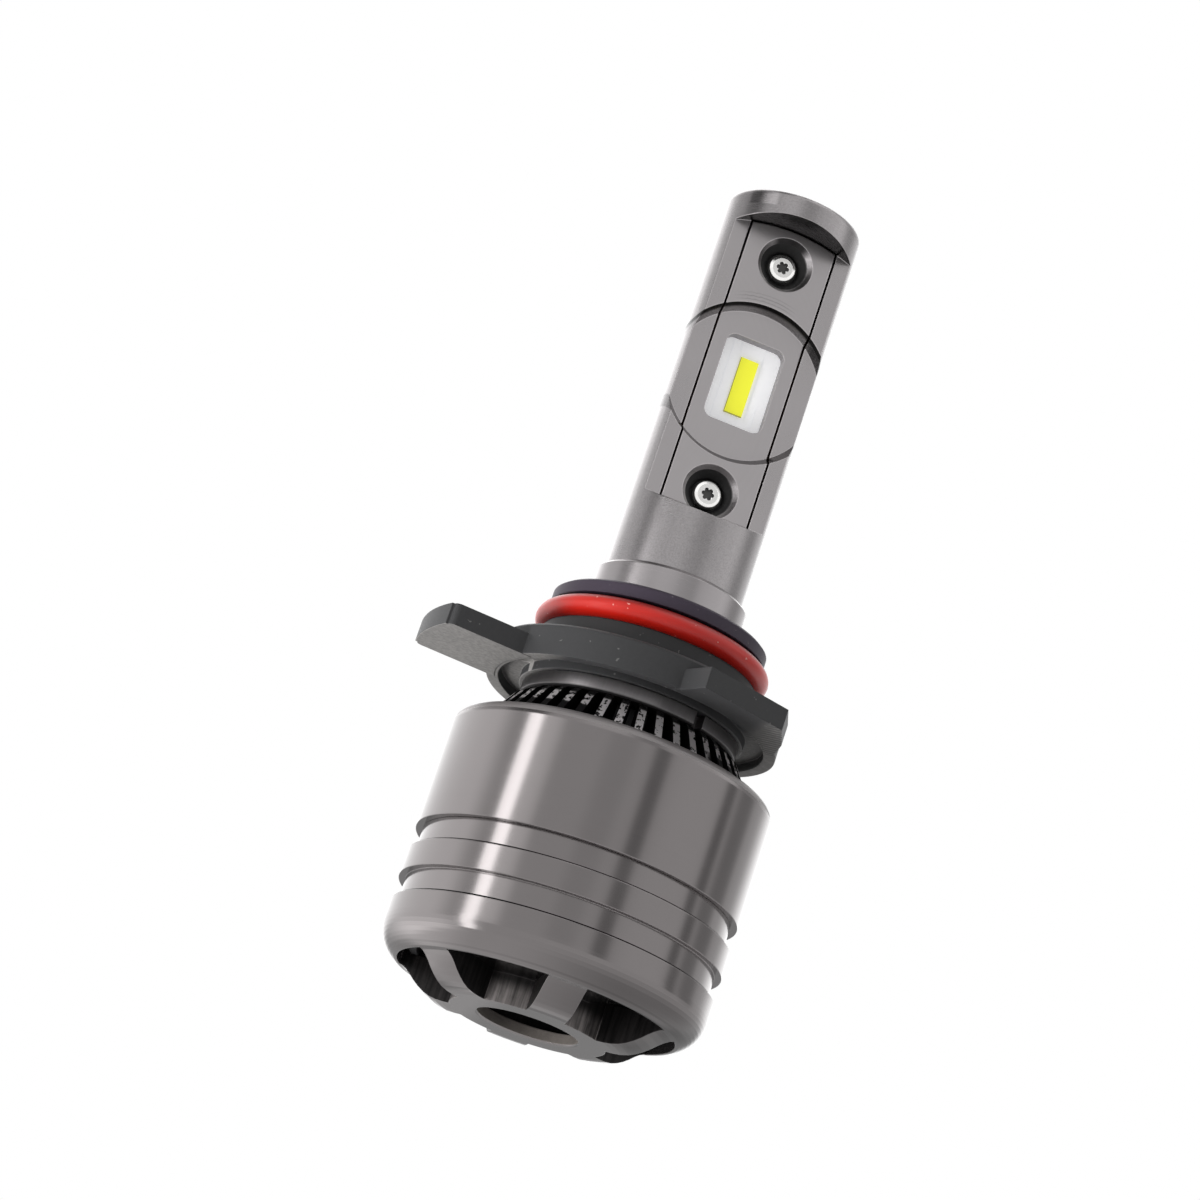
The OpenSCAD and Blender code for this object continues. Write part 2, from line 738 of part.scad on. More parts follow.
// Square rubber grommet in the rear can's cable inlet
module cable_grommet() {
    color([0.07, 0.07, 0.07])
    difference() {
        union() {
            inlet_block(inlet_hole_w, 12.3, inlet_face_y + 0.1);
            inlet_block(inlet_seat_w - 0.2, inlet_face_y, inlet_face_y + 0.8);
        }
        translate([0, 10, inlet_z]) rotate([-90, 0, 0]) cylinder(r = inlet_bore_r, h = 10, $fn = 48);
    }
}

burner_column();
copper_core();
led_board_front();
led_board_rear();
led_strip_front();
led_strip_rear();
led_cover_front();
led_cover_rear();
cover_screws_front();
cover_screws_rear();
neck_ring();
mount_collar();
seal_ring();
grip_ring();
lock_ring();
finned_heatsink();
collar_boss();
housing_sleeve();
rear_can();
fan_guard();
driver_board();
driver_parts();
board_screws();
fan_frame();
fan_bearings();
fan_stator();
fan_impeller();
fan_magnet();
fan_shaft();
cable_grommet();
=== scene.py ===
import logging
import math
from dataclasses import dataclass, field
from enum import Enum
from typing import Any

import bpy
import numpy as np
from mathutils import Matrix, Vector


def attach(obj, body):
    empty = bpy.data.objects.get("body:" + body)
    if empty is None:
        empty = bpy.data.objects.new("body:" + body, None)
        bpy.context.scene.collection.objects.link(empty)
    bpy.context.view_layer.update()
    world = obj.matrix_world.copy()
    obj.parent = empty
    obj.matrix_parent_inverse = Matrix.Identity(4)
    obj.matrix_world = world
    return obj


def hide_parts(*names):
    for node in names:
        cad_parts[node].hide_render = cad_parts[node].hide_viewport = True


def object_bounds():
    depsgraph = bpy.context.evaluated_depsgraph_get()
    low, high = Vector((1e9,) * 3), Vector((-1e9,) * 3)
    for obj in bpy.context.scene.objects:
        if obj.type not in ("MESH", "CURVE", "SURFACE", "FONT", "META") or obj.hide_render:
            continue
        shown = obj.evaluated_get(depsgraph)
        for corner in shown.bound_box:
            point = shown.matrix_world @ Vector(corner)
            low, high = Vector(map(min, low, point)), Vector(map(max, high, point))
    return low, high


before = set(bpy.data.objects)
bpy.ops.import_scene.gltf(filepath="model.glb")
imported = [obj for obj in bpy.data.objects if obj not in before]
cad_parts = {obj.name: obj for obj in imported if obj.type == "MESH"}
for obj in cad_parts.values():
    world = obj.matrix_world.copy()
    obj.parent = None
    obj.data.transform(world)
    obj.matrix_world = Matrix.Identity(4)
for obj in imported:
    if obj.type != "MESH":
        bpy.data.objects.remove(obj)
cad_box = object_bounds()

log = logging.getLogger("headlight_bulb")
MM = 0.001

Colour = tuple[float, float, float]
Span = tuple[float, float]


def srgb(red: int, green: int, blue: int) -> Colour:
    """Turns a screen colour of 0 to 255 into the linear colour that shaders use.

    Args:
        red: red as seen on screen.
        green: green as seen on screen.
        blue: blue as seen on screen.

    Returns:
        The linear colour.
    """
    parts = [channel / 255 for channel in (red, green, blue)]
    linear = [p / 12.92 if p <= 0.04045 else ((p + 0.055) / 1.055) ** 2.4 for p in parts]
    return linear[0], linear[1], linear[2]


# ---- shader expressions


class Wire:
    """An output socket that Python arithmetic can be written on; each operator adds a Math node."""

    def __init__(self, graph: "Graph", socket: bpy.types.NodeSocket) -> None:
        """Keeps the socket with the graph that it belongs to."""
        self.graph = graph
        self.socket = socket

    def _math(self, operation: str, *values: Any) -> "Wire":
        """Adds one Math node that applies an operation to the values."""
        return self.graph.node("ShaderNodeMath", {"operation": operation}, dict(enumerate(values)))

    def __add__(self, other: Any) -> "Wire":
        """Sum."""
        return self._math("ADD", self, other)

    def __sub__(self, other: Any) -> "Wire":
        """Difference."""
        return self._math("SUBTRACT", self, other)

    def __rsub__(self, other: Any) -> "Wire":
        """Difference with the socket on the right."""
        return self._math("SUBTRACT", other, self)

    def __mul__(self, other: Any) -> "Wire":
        """Product."""
        return self._math("MULTIPLY", self, other)

    def __truediv__(self, other: Any) -> "Wire":
        """Quotient."""
        return self._math("DIVIDE", self, other)

    def __pow__(self, other: Any) -> "Wire":
        """Power."""
        return self._math("POWER", self, other)

    __radd__ = __add__
    __rmul__ = __mul__

    def size(self) -> "Wire":
        """Absolute value."""
        return self._math("ABSOLUTE", self)

    def most(self, other: Any) -> "Wire":
        """The larger of two values."""
        return self._math("MAXIMUM", self, other)

    def least(self, other: Any) -> "Wire":
        """The smaller of two values."""
        return self._math("MINIMUM", self, other)

    def rise(self, low: float, high: float) -> "Wire":
        """A smooth step between two values, which falls where low is above high.

        Args:
            low: value at which the step is 0.
            high: value at which the step is 1.

        Returns:
            The step.
        """
        if low < high:
            return self.graph.node(
                "ShaderNodeMapRange",
                {"interpolation_type": "SMOOTHSTEP"},
                {"Value": self, "From Min": low, "From Max": high},
            )
        return 1 - self.rise(high, low)

    def stripes(self, pitch: float, low: float, high: float) -> "Wire":
        """Stripes that repeat at a pitch: the sine of the value, cut between two of its levels."""
        return self._math("SINE", self * (2 * math.pi / pitch)).rise(low, high)


def length(first: Wire, second: Wire) -> Wire:
    """Length of a vector with two components."""
    return (first * first + second * second) ** 0.5


@dataclass(frozen=True)
class Grain:
    """A noise: its scale, its octaves of detail and how strong the finer octaves are."""

    scale: float
    detail: float = 3.0
    rough: float = 0.55


class Graph:
    """The node tree of one material, or of the world."""

    def __init__(self, tree: bpy.types.NodeTree) -> None:
        """Empties the tree."""
        self.tree = tree
        tree.nodes.clear()

    def node(
        self,
        kind: str,
        settings: dict[str, Any] | None = None,
        inputs: dict[Any, Any] | None = None,
        out: Any = 0,
    ) -> Wire:
        """Adds a node: its settings first, then the values or links of its sockets.

        Args:
            kind: the node's type name.
            settings: the node's own properties.
            inputs: socket name or number to a number, a colour or a wire.
            out: name or number of the output that is returned.

        Returns:
            A wire on the chosen output.
        """
        node = self.tree.nodes.new(kind)
        for key, value in (settings or {}).items():
            setattr(node, key, value)
        for key, value in (inputs or {}).items():
            socket = node.inputs[key]
            if isinstance(value, Wire):
                self.tree.links.new(value.socket, socket)
            else:
                is_colour = socket.type == "RGBA" and len(value) == 3
                socket.default_value = (*value, 1.0) if is_colour else value
        return Wire(self, node.outputs[out] if len(node.outputs) else None)

    def split(self, vector: Wire) -> tuple[Wire, Wire, Wire]:
        """Takes a vector apart into its three components."""
        outputs = self.node("ShaderNodeSeparateXYZ", None, {0: vector}).socket.node.outputs
        return Wire(self, outputs[0]), Wire(self, outputs[1]), Wire(self, outputs[2])

    def vector(self, x: Any, y: Any, z: Any) -> Wire:
        """Joins three values to a vector."""
        return self.node("ShaderNodeCombineXYZ", None, {0: x, 1: y, 2: z})

    def place(self) -> tuple[Wire, Wire, Wire, Wire]:
        """Place on the object.

        Returns:
            Wires with x, y and z in millimetres, and then the three as a vector.
        """
        spot = self.node("ShaderNodeTexCoord", out="Object")
        scaled = self.node(
            "ShaderNodeVectorMath", {"operation": "SCALE"}, {0: spot, "Scale": 1 / MM}
        )
        return *self.split(scaled), scaled

    def normal(self) -> Wire:
        """The face's own normal."""
        return self.node("ShaderNodeNewGeometry", out="Normal")

    def upward(self) -> Wire:
        """How far the face looks up: 1 for a top, 0 for an upright wall, -1 for an underside."""
        return self.split(self.normal())[2]

    def ray(self, kind: str) -> Wire:
        """1 for rays of a kind, such as Glossy, and 0 for all others."""
        return self.node("ShaderNodeLightPath", out=f"Is {kind} Ray")

    def noise(self, vector: Wire, grain: Grain) -> Wire:
        """Noise from 0 to 1 about 0.5."""
        octaves = {"Scale": grain.scale, "Detail": grain.detail, "Roughness": grain.rough}
        return self.node("ShaderNodeTexNoise", None, {"Vector": vector, **octaves})

    def tone(self, factor: Any, first: Any, second: Any, blend: str = "MIX") -> Wire:
        """Mixes two colours by a factor."""
        settings = {"data_type": "RGBA", "blend_type": blend, "clamp_factor": True}
        return self.node("ShaderNodeMix", settings, {0: factor, 6: first, 7: second}, out=2)

    def shade(self, colour: Any, factor: Wire) -> Wire:
        """Multiplies a colour by a grey factor."""
        return self.tone(1.0, colour, self.vector(factor, factor, factor), "MULTIPLY")

    def edge(self, radius_mm: float) -> tuple[Wire, Wire]:
        """Rounds the normal near sharp edges.

        Args:
            radius_mm: radius of the rounding in millimetres.

        Returns:
            The rounded normal, and a mask that is 1 on sharp edges and 0 elsewhere.
        """
        rounded = self.node("ShaderNodeBevel", {"samples": 6}, {"Radius": radius_mm * MM})
        same = self.node("ShaderNodeVectorMath", {"operation": "DOT_PRODUCT"},
                         {0: rounded, 1: self.normal()}, out="Value")
        return rounded, (1 - same).rise(0.01, 0.25)

    def bump(self, height: Wire, depth_mm: float, normal: Wire | None = None) -> Wire:
        """Bumps a normal by a height map.

        Args:
            height: height from 0 to 1.
            depth_mm: what a height of 1 stands for, in millimetres.
            normal: normal to start from, or None for the face's own.

        Returns:
            The bumped normal.
        """
        inputs: dict[Any, Any] = {"Height": height, "Distance": depth_mm * MM, "Strength": 1.0}
        if normal is not None:
            inputs["Normal"] = normal
        return self.node("ShaderNodeBump", None, inputs)

    def surface(self, **sockets: Any) -> None:
        """Closes the tree with a Principled shader.

        Args:
            sockets: socket name, in lower case with underscores, to its value or wire.
        """
        names = {key.replace("_", " ").title().replace("Ior", "IOR"): value
                 for key, value in sockets.items()}
        self.close(self.node("ShaderNodeBsdfPrincipled", None, names))

    def close(self, shader: Wire) -> None:
        """Ends a material's tree with a shader."""
        self.node("ShaderNodeOutputMaterial", None, {"Surface": shader})


def blank_material(name: str) -> tuple[bpy.types.Material, Graph]:
    """Makes a material with an empty node tree.

    Args:
        name: the material's name.

    Returns:
        The material and the graph that draws on it.
    """
    material = bpy.data.materials.new(name)
    material.use_nodes = True
    return material, Graph(material.node_tree)


# ---- finishes


@dataclass(frozen=True)
class Finish:
    """What every finish has: a name and a method that builds its material."""

    name: str

    def build(self) -> bpy.types.Material:
        """Makes the material.

        Returns:
            The finished material.
        """
        material, graph = blank_material(self.name)
        self.draw(graph)
        return material

    def draw(self, graph: Graph) -> None:
        """Adds the finish's nodes to a graph."""
        raise NotImplementedError


@dataclass
class Look:
    """What a turned finish has worked out so far on its graph, for its local marks to change."""

    graph: Graph
    x: Wire
    y: Wire
    z: Wire
    place: Wire
    radius: Wire
    shade: Wire
    relief: Wire
    roughness: Wire
    tint: Any
    metallic: Any = 1.0


@dataclass(frozen=True)
class TurnedMetal(Finish):
    """Anodised aluminium, turned on a lathe: fine rings round the axis, streaks and worn edges.

    Lengths and depths are in millimetres; the tones and gains are shares of the base brightness.
    """

    tint: Colour = srgb(121, 117, 117)
    roughness: float = 0.15
    roughness_range: float = 0.05
    rings: Grain = Grain(1 / 0.12, 4.0, 0.6)
    ring_depth: float = 0.0006
    ring_tone: float = 0.06
    grain: Grain = Grain(9.0, 2.0, 0.6)
    grain_depth: float = 0.0006
    cloud: Grain = Grain(0.18, 4.0)
    cloud_tone: float = 0.08
    edge_gain: float = 0.35
    edge_radius: float = 0.15

    def draw(self, graph: Graph) -> None:
        """Rings are noise that changes with height and radius but not with the angle.

        Args:
            graph: the material's graph.
        """
        x, y, z, place = graph.place()
        radius = length(x, y)
        rings = graph.noise(graph.vector(radius, 0.0, z), self.rings)
        cloud = graph.noise(place, self.cloud)
        grain = graph.noise(place, self.grain)
        rounded, worn = graph.edge(self.edge_radius)
        uneven = self.roughness_range * (cloud - 0.5) + self.roughness_range * (rings - 0.5)
        look = Look(
            graph, x, y, z, place, radius,
            shade=(1 + self.cloud_tone * (cloud - 0.5) + self.ring_tone * (rings - 0.5)
                   + self.edge_gain * worn),
            relief=rings * self.ring_depth + grain * self.grain_depth,
            roughness=self.roughness + uneven,
            tint=self.tint,
        )
        self.mark(look)
        graph.surface(
            base_color=graph.shade(look.tint, look.shade),
            metallic=look.metallic,
            roughness=look.roughness,
            normal=graph.bump(look.relief, 1.0, rounded),
        )

    def mark(self, look: Look) -> None:
        """Leaves the plain turned surface as it is."""


@dataclass(frozen=True)
class MilledMetal(TurnedMetal):
    """Turned aluminium with milled flats: cutter marks, speckled round faces toned darker as
    painted shade, hollows darkened with painted shade, and painted reflections on the cap's rim.
    """

    tint: Colour = srgb(176, 172, 173)
    light_z: float = 31.5
    flat_y: float = 2.9
    flat_top_shadow_z: Span = (45.4, 47.4)
    flat_top_painted_shadow: float = 0.3
    sweep: Grain = Grain(3.2, 3.0, 0.6)
    sweep_centre: Span = (-14.0, 27.0)
    sweep_tone: float = 0.07
    sweep_depth: float = 0.0012
    pocket_r: float = 7.95
    pocket_floor_r: float = 7.3
    tight: Grain = Grain(6.0, 2.0, 0.6)
    tight_tone: float = 0.2
    tight_depth: float = 0.004
    arc_pitch: float = 0.34
    arc_dark: float = 0.26
    screw_zs: Span = (44.0, 20.15)
    recess_r: float = 2.3
    recess_oxide_and_shade: float = 0.97
    cap_z: float = 40.0
    cap_rim_z: float = 48.0
    cap_under_painted_shade: float = 0.9
    round_painted_shade_gain: float = 0.66
    speck: Grain = Grain(6.5, 3.0, 0.7)
    speck_tone: float = 0.5
    speck_depth: float = 0.005
    dark_reflection_way: Span = (-0.752, -0.659)
    dark_reflection_tone: float = 0.24
    highlight_way: Span = (-0.574, -0.819)
    highlight_gain: float = 0.34

    def mark(self, look: Look) -> None:
        """Marks the flats and the round faces, then paints shade into the hollows, under the cap
        and on the flats just below it.

        Args:
            look: the look that is changed.
        """
        depth = look.y.size()
        away = length(look.x, look.z - self.light_z)
        _, forward, upward = look.graph.split(look.graph.normal())
        flat = depth.rise(self.flat_y + 0.06, self.flat_y + 0.02) * forward.size().rise(0.8, 0.9)
        speck = look.graph.noise(look.place, self.speck)
        self.cutter_marks(look, flat, away)
        look.relief += (1 - flat) * speck * self.speck_depth
        # Round faces get a darker tone than the flats: painted shade; their speckle is their own.
        tone = self.round_painted_shade_gain - 1 + self.speck_tone * (speck - 0.5)
        look.shade += (1 - flat) * tone
        # Painted reflections on the cap's rim: one dark band and one highlight.
        self.cap_painted_reflections(look, (1 - flat) * upward.size().rise(0.7, 0.4), speck)
        # Screw recesses: blackened, duller and less metallic, with painted shade over them.
        recess = self.recess(look, depth)
        # Painted shade on the cap's underside.
        under = upward.rise(-0.5, -0.7) * look.z.rise(self.cap_z, self.cap_z + 0.2)
        # Painted shade on the pocket's wall, combined below with the other painted darkening.
        dark = self.pocket_wall_painted_shade(look, depth, away).most(recess * self.recess_oxide_and_shade)
        dark = dark.most(under * self.cap_under_painted_shade)
        # Painted shadow on the flats just below the cap.
        dark = dark.most(flat * look.z.rise(*self.flat_top_shadow_z) * self.flat_top_painted_shadow)
        look.shade *= 1 - dark
        look.metallic = 1 - 0.6 * recess
        look.roughness += 0.3 * recess

    def cutter_marks(self, look: Look, flat: Wire, away: Wire) -> None:
        """Lays the cutter's marks: wide arcs on the flats, tight arcs just above the pocket.

        Args:
            look: the look that the marks change.
            flat: 1 on the milled flats.
            away: distance from the light's centre.
        """
        sweep = length(look.x - self.sweep_centre[0], look.z - self.sweep_centre[1])
        wide = look.graph.noise(look.graph.vector(sweep, 0.0, 0.0), self.sweep)
        tight = look.graph.noise(look.graph.vector(away, 0.0, 0.0), self.tight)
        band = away.rise(self.pocket_r + 0.1, self.pocket_r + 0.35)
        band *= away.rise(self.pocket_r + 1.2, self.pocket_r + 0.8)
        band *= look.z.rise(self.light_z + 7.0, self.light_z + 7.8)
        arcs = (away + 0.25 * (wide - 0.5)).stripes(self.arc_pitch, 0.3, 0.9)
        arcs *= band * (look.x + 0.6).size().rise(3.4, 1.6)
        look.relief += flat * wide * self.sweep_depth
        look.relief += flat * band * tight * self.tight_depth
        tone = self.sweep_tone * (wide - 0.5) + self.tight_tone * band * (tight - 0.5)
        look.shade += flat * (tone - arcs * self.arc_dark)

    def cap_painted_reflections(self, look: Look, upright: Wire, speck: Wire) -> None:
        """Paints one speckled dark reflection and one highlight on the cap's rim, left of its
        middle.

        Args:
            look: the look that the streaks change.
            upright: 1 on round faces that stand upright.
            speck: fine noise that breaks up the painted dark reflection.
        """
        rim = upright * look.z.rise(self.cap_rim_z, self.cap_rim_z + 0.1)
        radius = look.radius.most(0.1)
        streak, gleam = (
            (look.x * way[0] + look.y * way[1]) / radius
            for way in (self.dark_reflection_way, self.highlight_way)
        )
        bright = self.highlight_gain * gleam.rise(0.99, 0.998)
        dark = self.dark_reflection_tone * streak.rise(0.994, 0.9985) * (0.5 + speck)
        look.shade += rim * (bright - dark)

    def pocket_wall_painted_shade(self, look: Look, depth: Wire, away: Wire) -> Wire:
        """Painted shade on the pocket's conical wall: less on its upper part, most along its upper
        edge, and heavy at its upper right.

        Args:
            look: the look, for the place on the object.
            depth: distance from the middle plane.
            away: distance from the light's centre.

        Returns:
            The share of the brightness that is taken away.
        """
        wall = away.rise(self.pocket_floor_r - 0.04, self.pocket_floor_r + 0.02)
        wall *= away.rise(self.pocket_r + 0.04, self.pocket_r - 0.02)
        wall *= depth.rise(self.flat_y - 0.02, self.flat_y - 0.06)
        upper = look.z.rise(self.light_z - 2, self.light_z + 3)
        edge = upper * away.rise(self.pocket_r - 0.4, self.pocket_r - 0.2)
        upper_right_shade = look.x.rise(3.5, 5.2) * upper * 0.85
        return wall * (0.45 - 0.25 * upper + 0.75 * edge).most(upper_right_shade)

    def recess(self, look: Look, depth: Wire) -> Wire:
        """Mask of the screws' recesses, which are blackened and darkened by painted shade, but for
        a painted lit part on their right.

        Args:
            look: the look, for the place on the object.
            depth: distance from the middle plane.

        Returns:
            1 in the dark part of each recess.
        """
        across = (look.z - self.screw_zs[0]).size().least((look.z - self.screw_zs[1]).size())
        hole = length(look.x, across).rise(self.recess_r, self.recess_r - 0.02)
        lit = depth + 0.35 * look.x.rise(0.4, 1.6)
        return hole * lit.rise(self.flat_y - 0.02, self.flat_y - 0.3)


@dataclass(frozen=True)
class GuardMetal(TurnedMetal):
    """The fan guard's metal: turned outside, with cutter streaks and stains on its milled walls,
    painted shade in its windows, web and cavity, and painted light on its hub's face.
    """

    # The near-black wall colour is painted shade inside the windows; the metal there is the same.
    wall: Colour = srgb(27, 25, 25)
    hub_wall: Colour = srgb(90, 86, 85)
    bore_wall: Colour = srgb(98, 93, 89)
    hub_r: float = 7.3
    hub_wall_shade_z: Span = (-29.7, -31.0)
    hub_gain: float = 1.1
    hub_lit_x: Span = (-2.8, -6.0)
    bore_r: Span = (5.6, 5.2)
    window_r: float = 13.0
    window_z: Span = (-28.0, -28.4)
    streak: Grain = Grain(2.1, 4.0, 0.65)
    streak_tone: float = 5.0
    streak_depth: float = 0.02
    stain: Grain = Grain(0.9, 4.0, 0.6)
    stain_tone: float = 0.8
    speck: Grain = Grain(8.0, 2.0, 0.7)
    cavity_z: float = -31.0
    cavity_painted_shade: float = 0.8
    spoke_dark: float = 0.5
    spoke_dark_x: Span = (-8.0, 5.0)
    spoke_gain: float = 0.6
    spoke_lit_x: Span = (-8.5, -13.0)
    web_z: float = -29.4
    web_shade_x: Span = (-8.5, 1.5)

    def mark(self, look: Look) -> None:
        """Paints the milled walls, then light and shade on the faces that look down, then painted
        shade on the closed web and in the cavity.

        Args:
            look: the look that is changed.
        """
        upward = look.graph.upward()
        speck = look.graph.noise(look.place, self.speck)
        upright = upward.size().rise(0.6, 0.3)
        inner = upright * look.radius.rise(self.window_r + 0.02, self.window_r - 0.05)
        inner *= look.z.rise(*self.window_z)
        bore = upright * look.radius.rise(*self.bore_r)
        sides = (inner - bore).most(0.0)
        streak = self.walls(look, inner, bore, sides)
        self.undersides(look, upward)
        # Painted shade on the closed web, deepening to the right; its speck is its own.
        web = upward.rise(-0.8, -0.9) * (look.z - self.web_z).size().rise(0.08, 0.05)
        web *= look.radius.rise(self.hub_r - 0.1, self.hub_r)
        web_painted_shade = 0.62 + 0.33 * look.x.rise(*self.web_shade_x)
        look.shade = look.shade * (1 - web * web_painted_shade) + web * 0.12 * (speck - 0.5)
        # Painted shade on the faces inside the cavity.
        cavity = upward.rise(0.3, 0.6) * look.z.rise(self.cavity_z - 0.1, self.cavity_z)
        look.shade = (look.shade + bore * 0.5 * (speck - 0.5)).most(0.03)
        look.shade *= 1 - self.cavity_painted_shade * cavity
        look.relief += inner * streak * self.streak_depth
        look.roughness += inner * 0.25
        look.metallic = 1 - bore * 0.75 - sides * 0.25

    def walls(self, look: Look, inner: Wire, bore: Wire, sides: Wire) -> Wire:
        """Tints the upright walls near the hub, near black as painted shade in the windows and up
        the hub wall, and lays streaks along the axis on them.

        Args:
            look: the look that is changed.
            inner: 1 on the upright walls within the windows' outer radius.
            bore: 1 on the walls of the hub's bore.
            sides: 1 on the inner walls outside the bore.

        Returns:
            The streaks' noise.
        """
        graph = look.graph
        # Going up, the hub wall gives way to the near-black wall colour: painted shade.
        hub = inner * (look.radius - self.hub_r).size().rise(0.1, 0.04)
        hub *= look.z.rise(*self.hub_wall_shade_z)
        streak = graph.noise(graph.vector(look.x, look.y, look.z * 0.05), self.streak)
        stain = graph.noise(look.place, self.stain)
        walls = graph.tone(hub, self.wall, self.hub_wall)
        look.tint = graph.tone(inner, self.tint, graph.tone(bore, walls, self.bore_wall))
        look.shade += sides * self.streak_tone * (streak - 0.5)
        look.shade += inner * self.stain_tone * (stain - 0.5)
        return streak

    def undersides(self, look: Look, upward: Wire) -> None:
        """Lights the left of the hub's face and shades the spokes from left to right.

        Args:
            look: the look that is changed.
            upward: how far each face looks up.
        """
        face = upward.rise(-0.8, -0.9) * look.radius.rise(9.6, 8.6)
        look.shade += face * look.x.rise(*self.hub_lit_x) * self.hub_gain
        spoke = upward.rise(-0.15, -0.6) * look.radius.rise(8.6, 10.2)
        look.shade *= 1 - spoke * look.x.rise(*self.spoke_dark_x) * self.spoke_dark
        look.shade *= 1 + spoke * look.x.rise(*self.spoke_lit_x) * self.spoke_gain


@dataclass(frozen=True)
class SleeveMetal(TurnedMetal):
    """Turned housing metal whose rounded top edge is rubbed matt and made lighter with painted
    light.
    """

    rub_painted_light: float = 0.2
    rub_matt: float = 0.45
    rub_roughness: float = 0.3

    def mark(self, look: Look) -> None:
        """The matt zone is where the face tilts upwards.

        Args:
            look: the look that is changed.
        """
        rubbed = look.graph.upward().rise(0.05, 0.4)
        # Painted light lightens the matt top edge.
        look.shade += self.rub_painted_light * rubbed
        look.metallic = 1 - self.rub_matt * rubbed
        look.roughness += self.rub_roughness * rubbed


@dataclass(frozen=True)
class LockMetal(TurnedMetal):
    """Grey anodised ring, dull and darker along its lower edge, and a little darker to the right as
    painted shade.
    """

    edge_z: float = -3.05
    edge_dark: float = 0.8
    right_painted_shade: float = 0.25
    right_x: Span = (-2.0, 7.0)
    scratch: Grain = Grain(4.0, 3.0, 0.6)
    scratch_tone: float = 0.25

    def mark(self, look: Look) -> None:
        """The lower edge is darker and duller, painted shade darkens the right, and fine upright
        scratches cross the rim.

        Args:
            look: the look that is changed.
        """
        upright = look.graph.vector(look.x, look.y, look.z * 0.1)
        scratch = look.graph.noise(upright, self.scratch)
        dull = look.z.rise(self.edge_z, self.edge_z - 0.25)
        look.shade += self.scratch_tone * (scratch - 0.5)
        # Painted shade towards the right.
        look.shade -= self.right_painted_shade * look.x.rise(*self.right_x)
        look.shade *= 1 - self.edge_dark * dull
        look.roughness += 0.25 * dull


@dataclass(frozen=True)
class BlackAnodised(Finish):
    """Black anodised fins whose turned rims are a lighter grey, partly their own and partly a
    painted highlight.
    """

    tint: Colour = srgb(14, 13, 14)
    rim: Colour = srgb(226, 221, 222)
    roughness: float = 0.38
    rim_r: float = 10.95
    rim_top_z: float = -3.75
    short_rim_z: float = -5.2
    short_left_x: Span = (-4.6, -5.6)
    short_right_x: Span = (5.4, 6.2)
    chips: Grain = Grain(2.2, 3.0, 0.6)
    grain: Grain = Grain(7.0)
    grain_depth: float = 0.004

    def draw(self, graph: Graph) -> None:
        """The rim's mask is where the face looks outwards; it is shorter towards both sides.

        Args:
            graph: the material's graph.
        """
        x, y, z, place = graph.place()
        right, forward, _ = graph.split(graph.normal())
        radius = length(x, y)
        outward = (right * x + forward * y) / radius
        chips = graph.noise(place, self.chips)
        grain = graph.noise(place, self.grain)
        # The rims' light grey is partly their own and partly a painted highlight, so it is shorter
        # towards both sides and stops short of the top.
        short = x.rise(*self.short_left_x).most(x.rise(*self.short_right_x))
        rim = outward.rise(0.55, 0.7) * radius.rise(self.rim_r, self.rim_r + 0.15)
        rim *= 1 - short * z.rise(self.short_rim_z, self.short_rim_z - 0.2)
        rim *= (chips - 0.04 * short).rise(0.4, 0.45)
        rim *= z.rise(self.rim_top_z, self.rim_top_z - 0.2)
        graph.surface(
            base_color=graph.tone(rim, self.tint, self.rim),
            metallic=0.1 + 0.5 * rim,
            specular_ior_level=0.2,
            roughness=self.roughness + 0.12 * (grain - 0.5),
            normal=graph.bump(grain, self.grain_depth),
        )


@dataclass(frozen=True)
class Moulded(Finish):
    """Moulded plastic with a fine grain, faint flow marks and slightly polished edges."""

    tint: Colour = srgb(49, 49, 50)
    roughness: float = 0.55
    grain: Grain = Grain(1 / 0.35, 4.0, 0.6)
    grain_tone: float = 0.3
    grain_depth: float = 0.006
    flow: Grain = Grain(0.16, 3.0, 0.5)
    flow_tone: float = 0.22
    edge_gain: float = 0.5
    edge_radius: float = 0.2

    def draw(self, graph: Graph) -> None:
        """Two noises give the grain and the flow marks.

        Args:
            graph: the material's graph.
        """
        x, y, z, place = graph.place()
        grain = graph.noise(place, self.grain)
        flow = graph.noise(place, self.flow)
        rounded, worn = graph.edge(self.edge_radius)
        shade = 1 + self.flow_tone * (flow - 0.5) + self.grain_tone * (grain - 0.5)
        shade += self.edge_gain * worn
        base = graph.shade(self.local_tint(graph, x, y, z, grain), shade)
        graph.surface(
            base_color=self.dusted(graph, base, place),
            roughness=self.roughness + 0.15 * (flow - 0.5) + 0.1 * (grain - 0.5),
            specular_ior_level=0.3,
            normal=graph.bump(grain, self.grain_depth, rounded),
        )

    def local_tint(self, graph: Graph, x: Wire, y: Wire, z: Wire, grain: Wire) -> Any:
        """Tint of each place, which is the same all over on a plain moulding."""
        return self.tint

    def dusted(self, graph: Graph, base: Wire, place: Wire) -> Wire:
        """Colour with its dust, of which a plain moulding has none."""
        return base


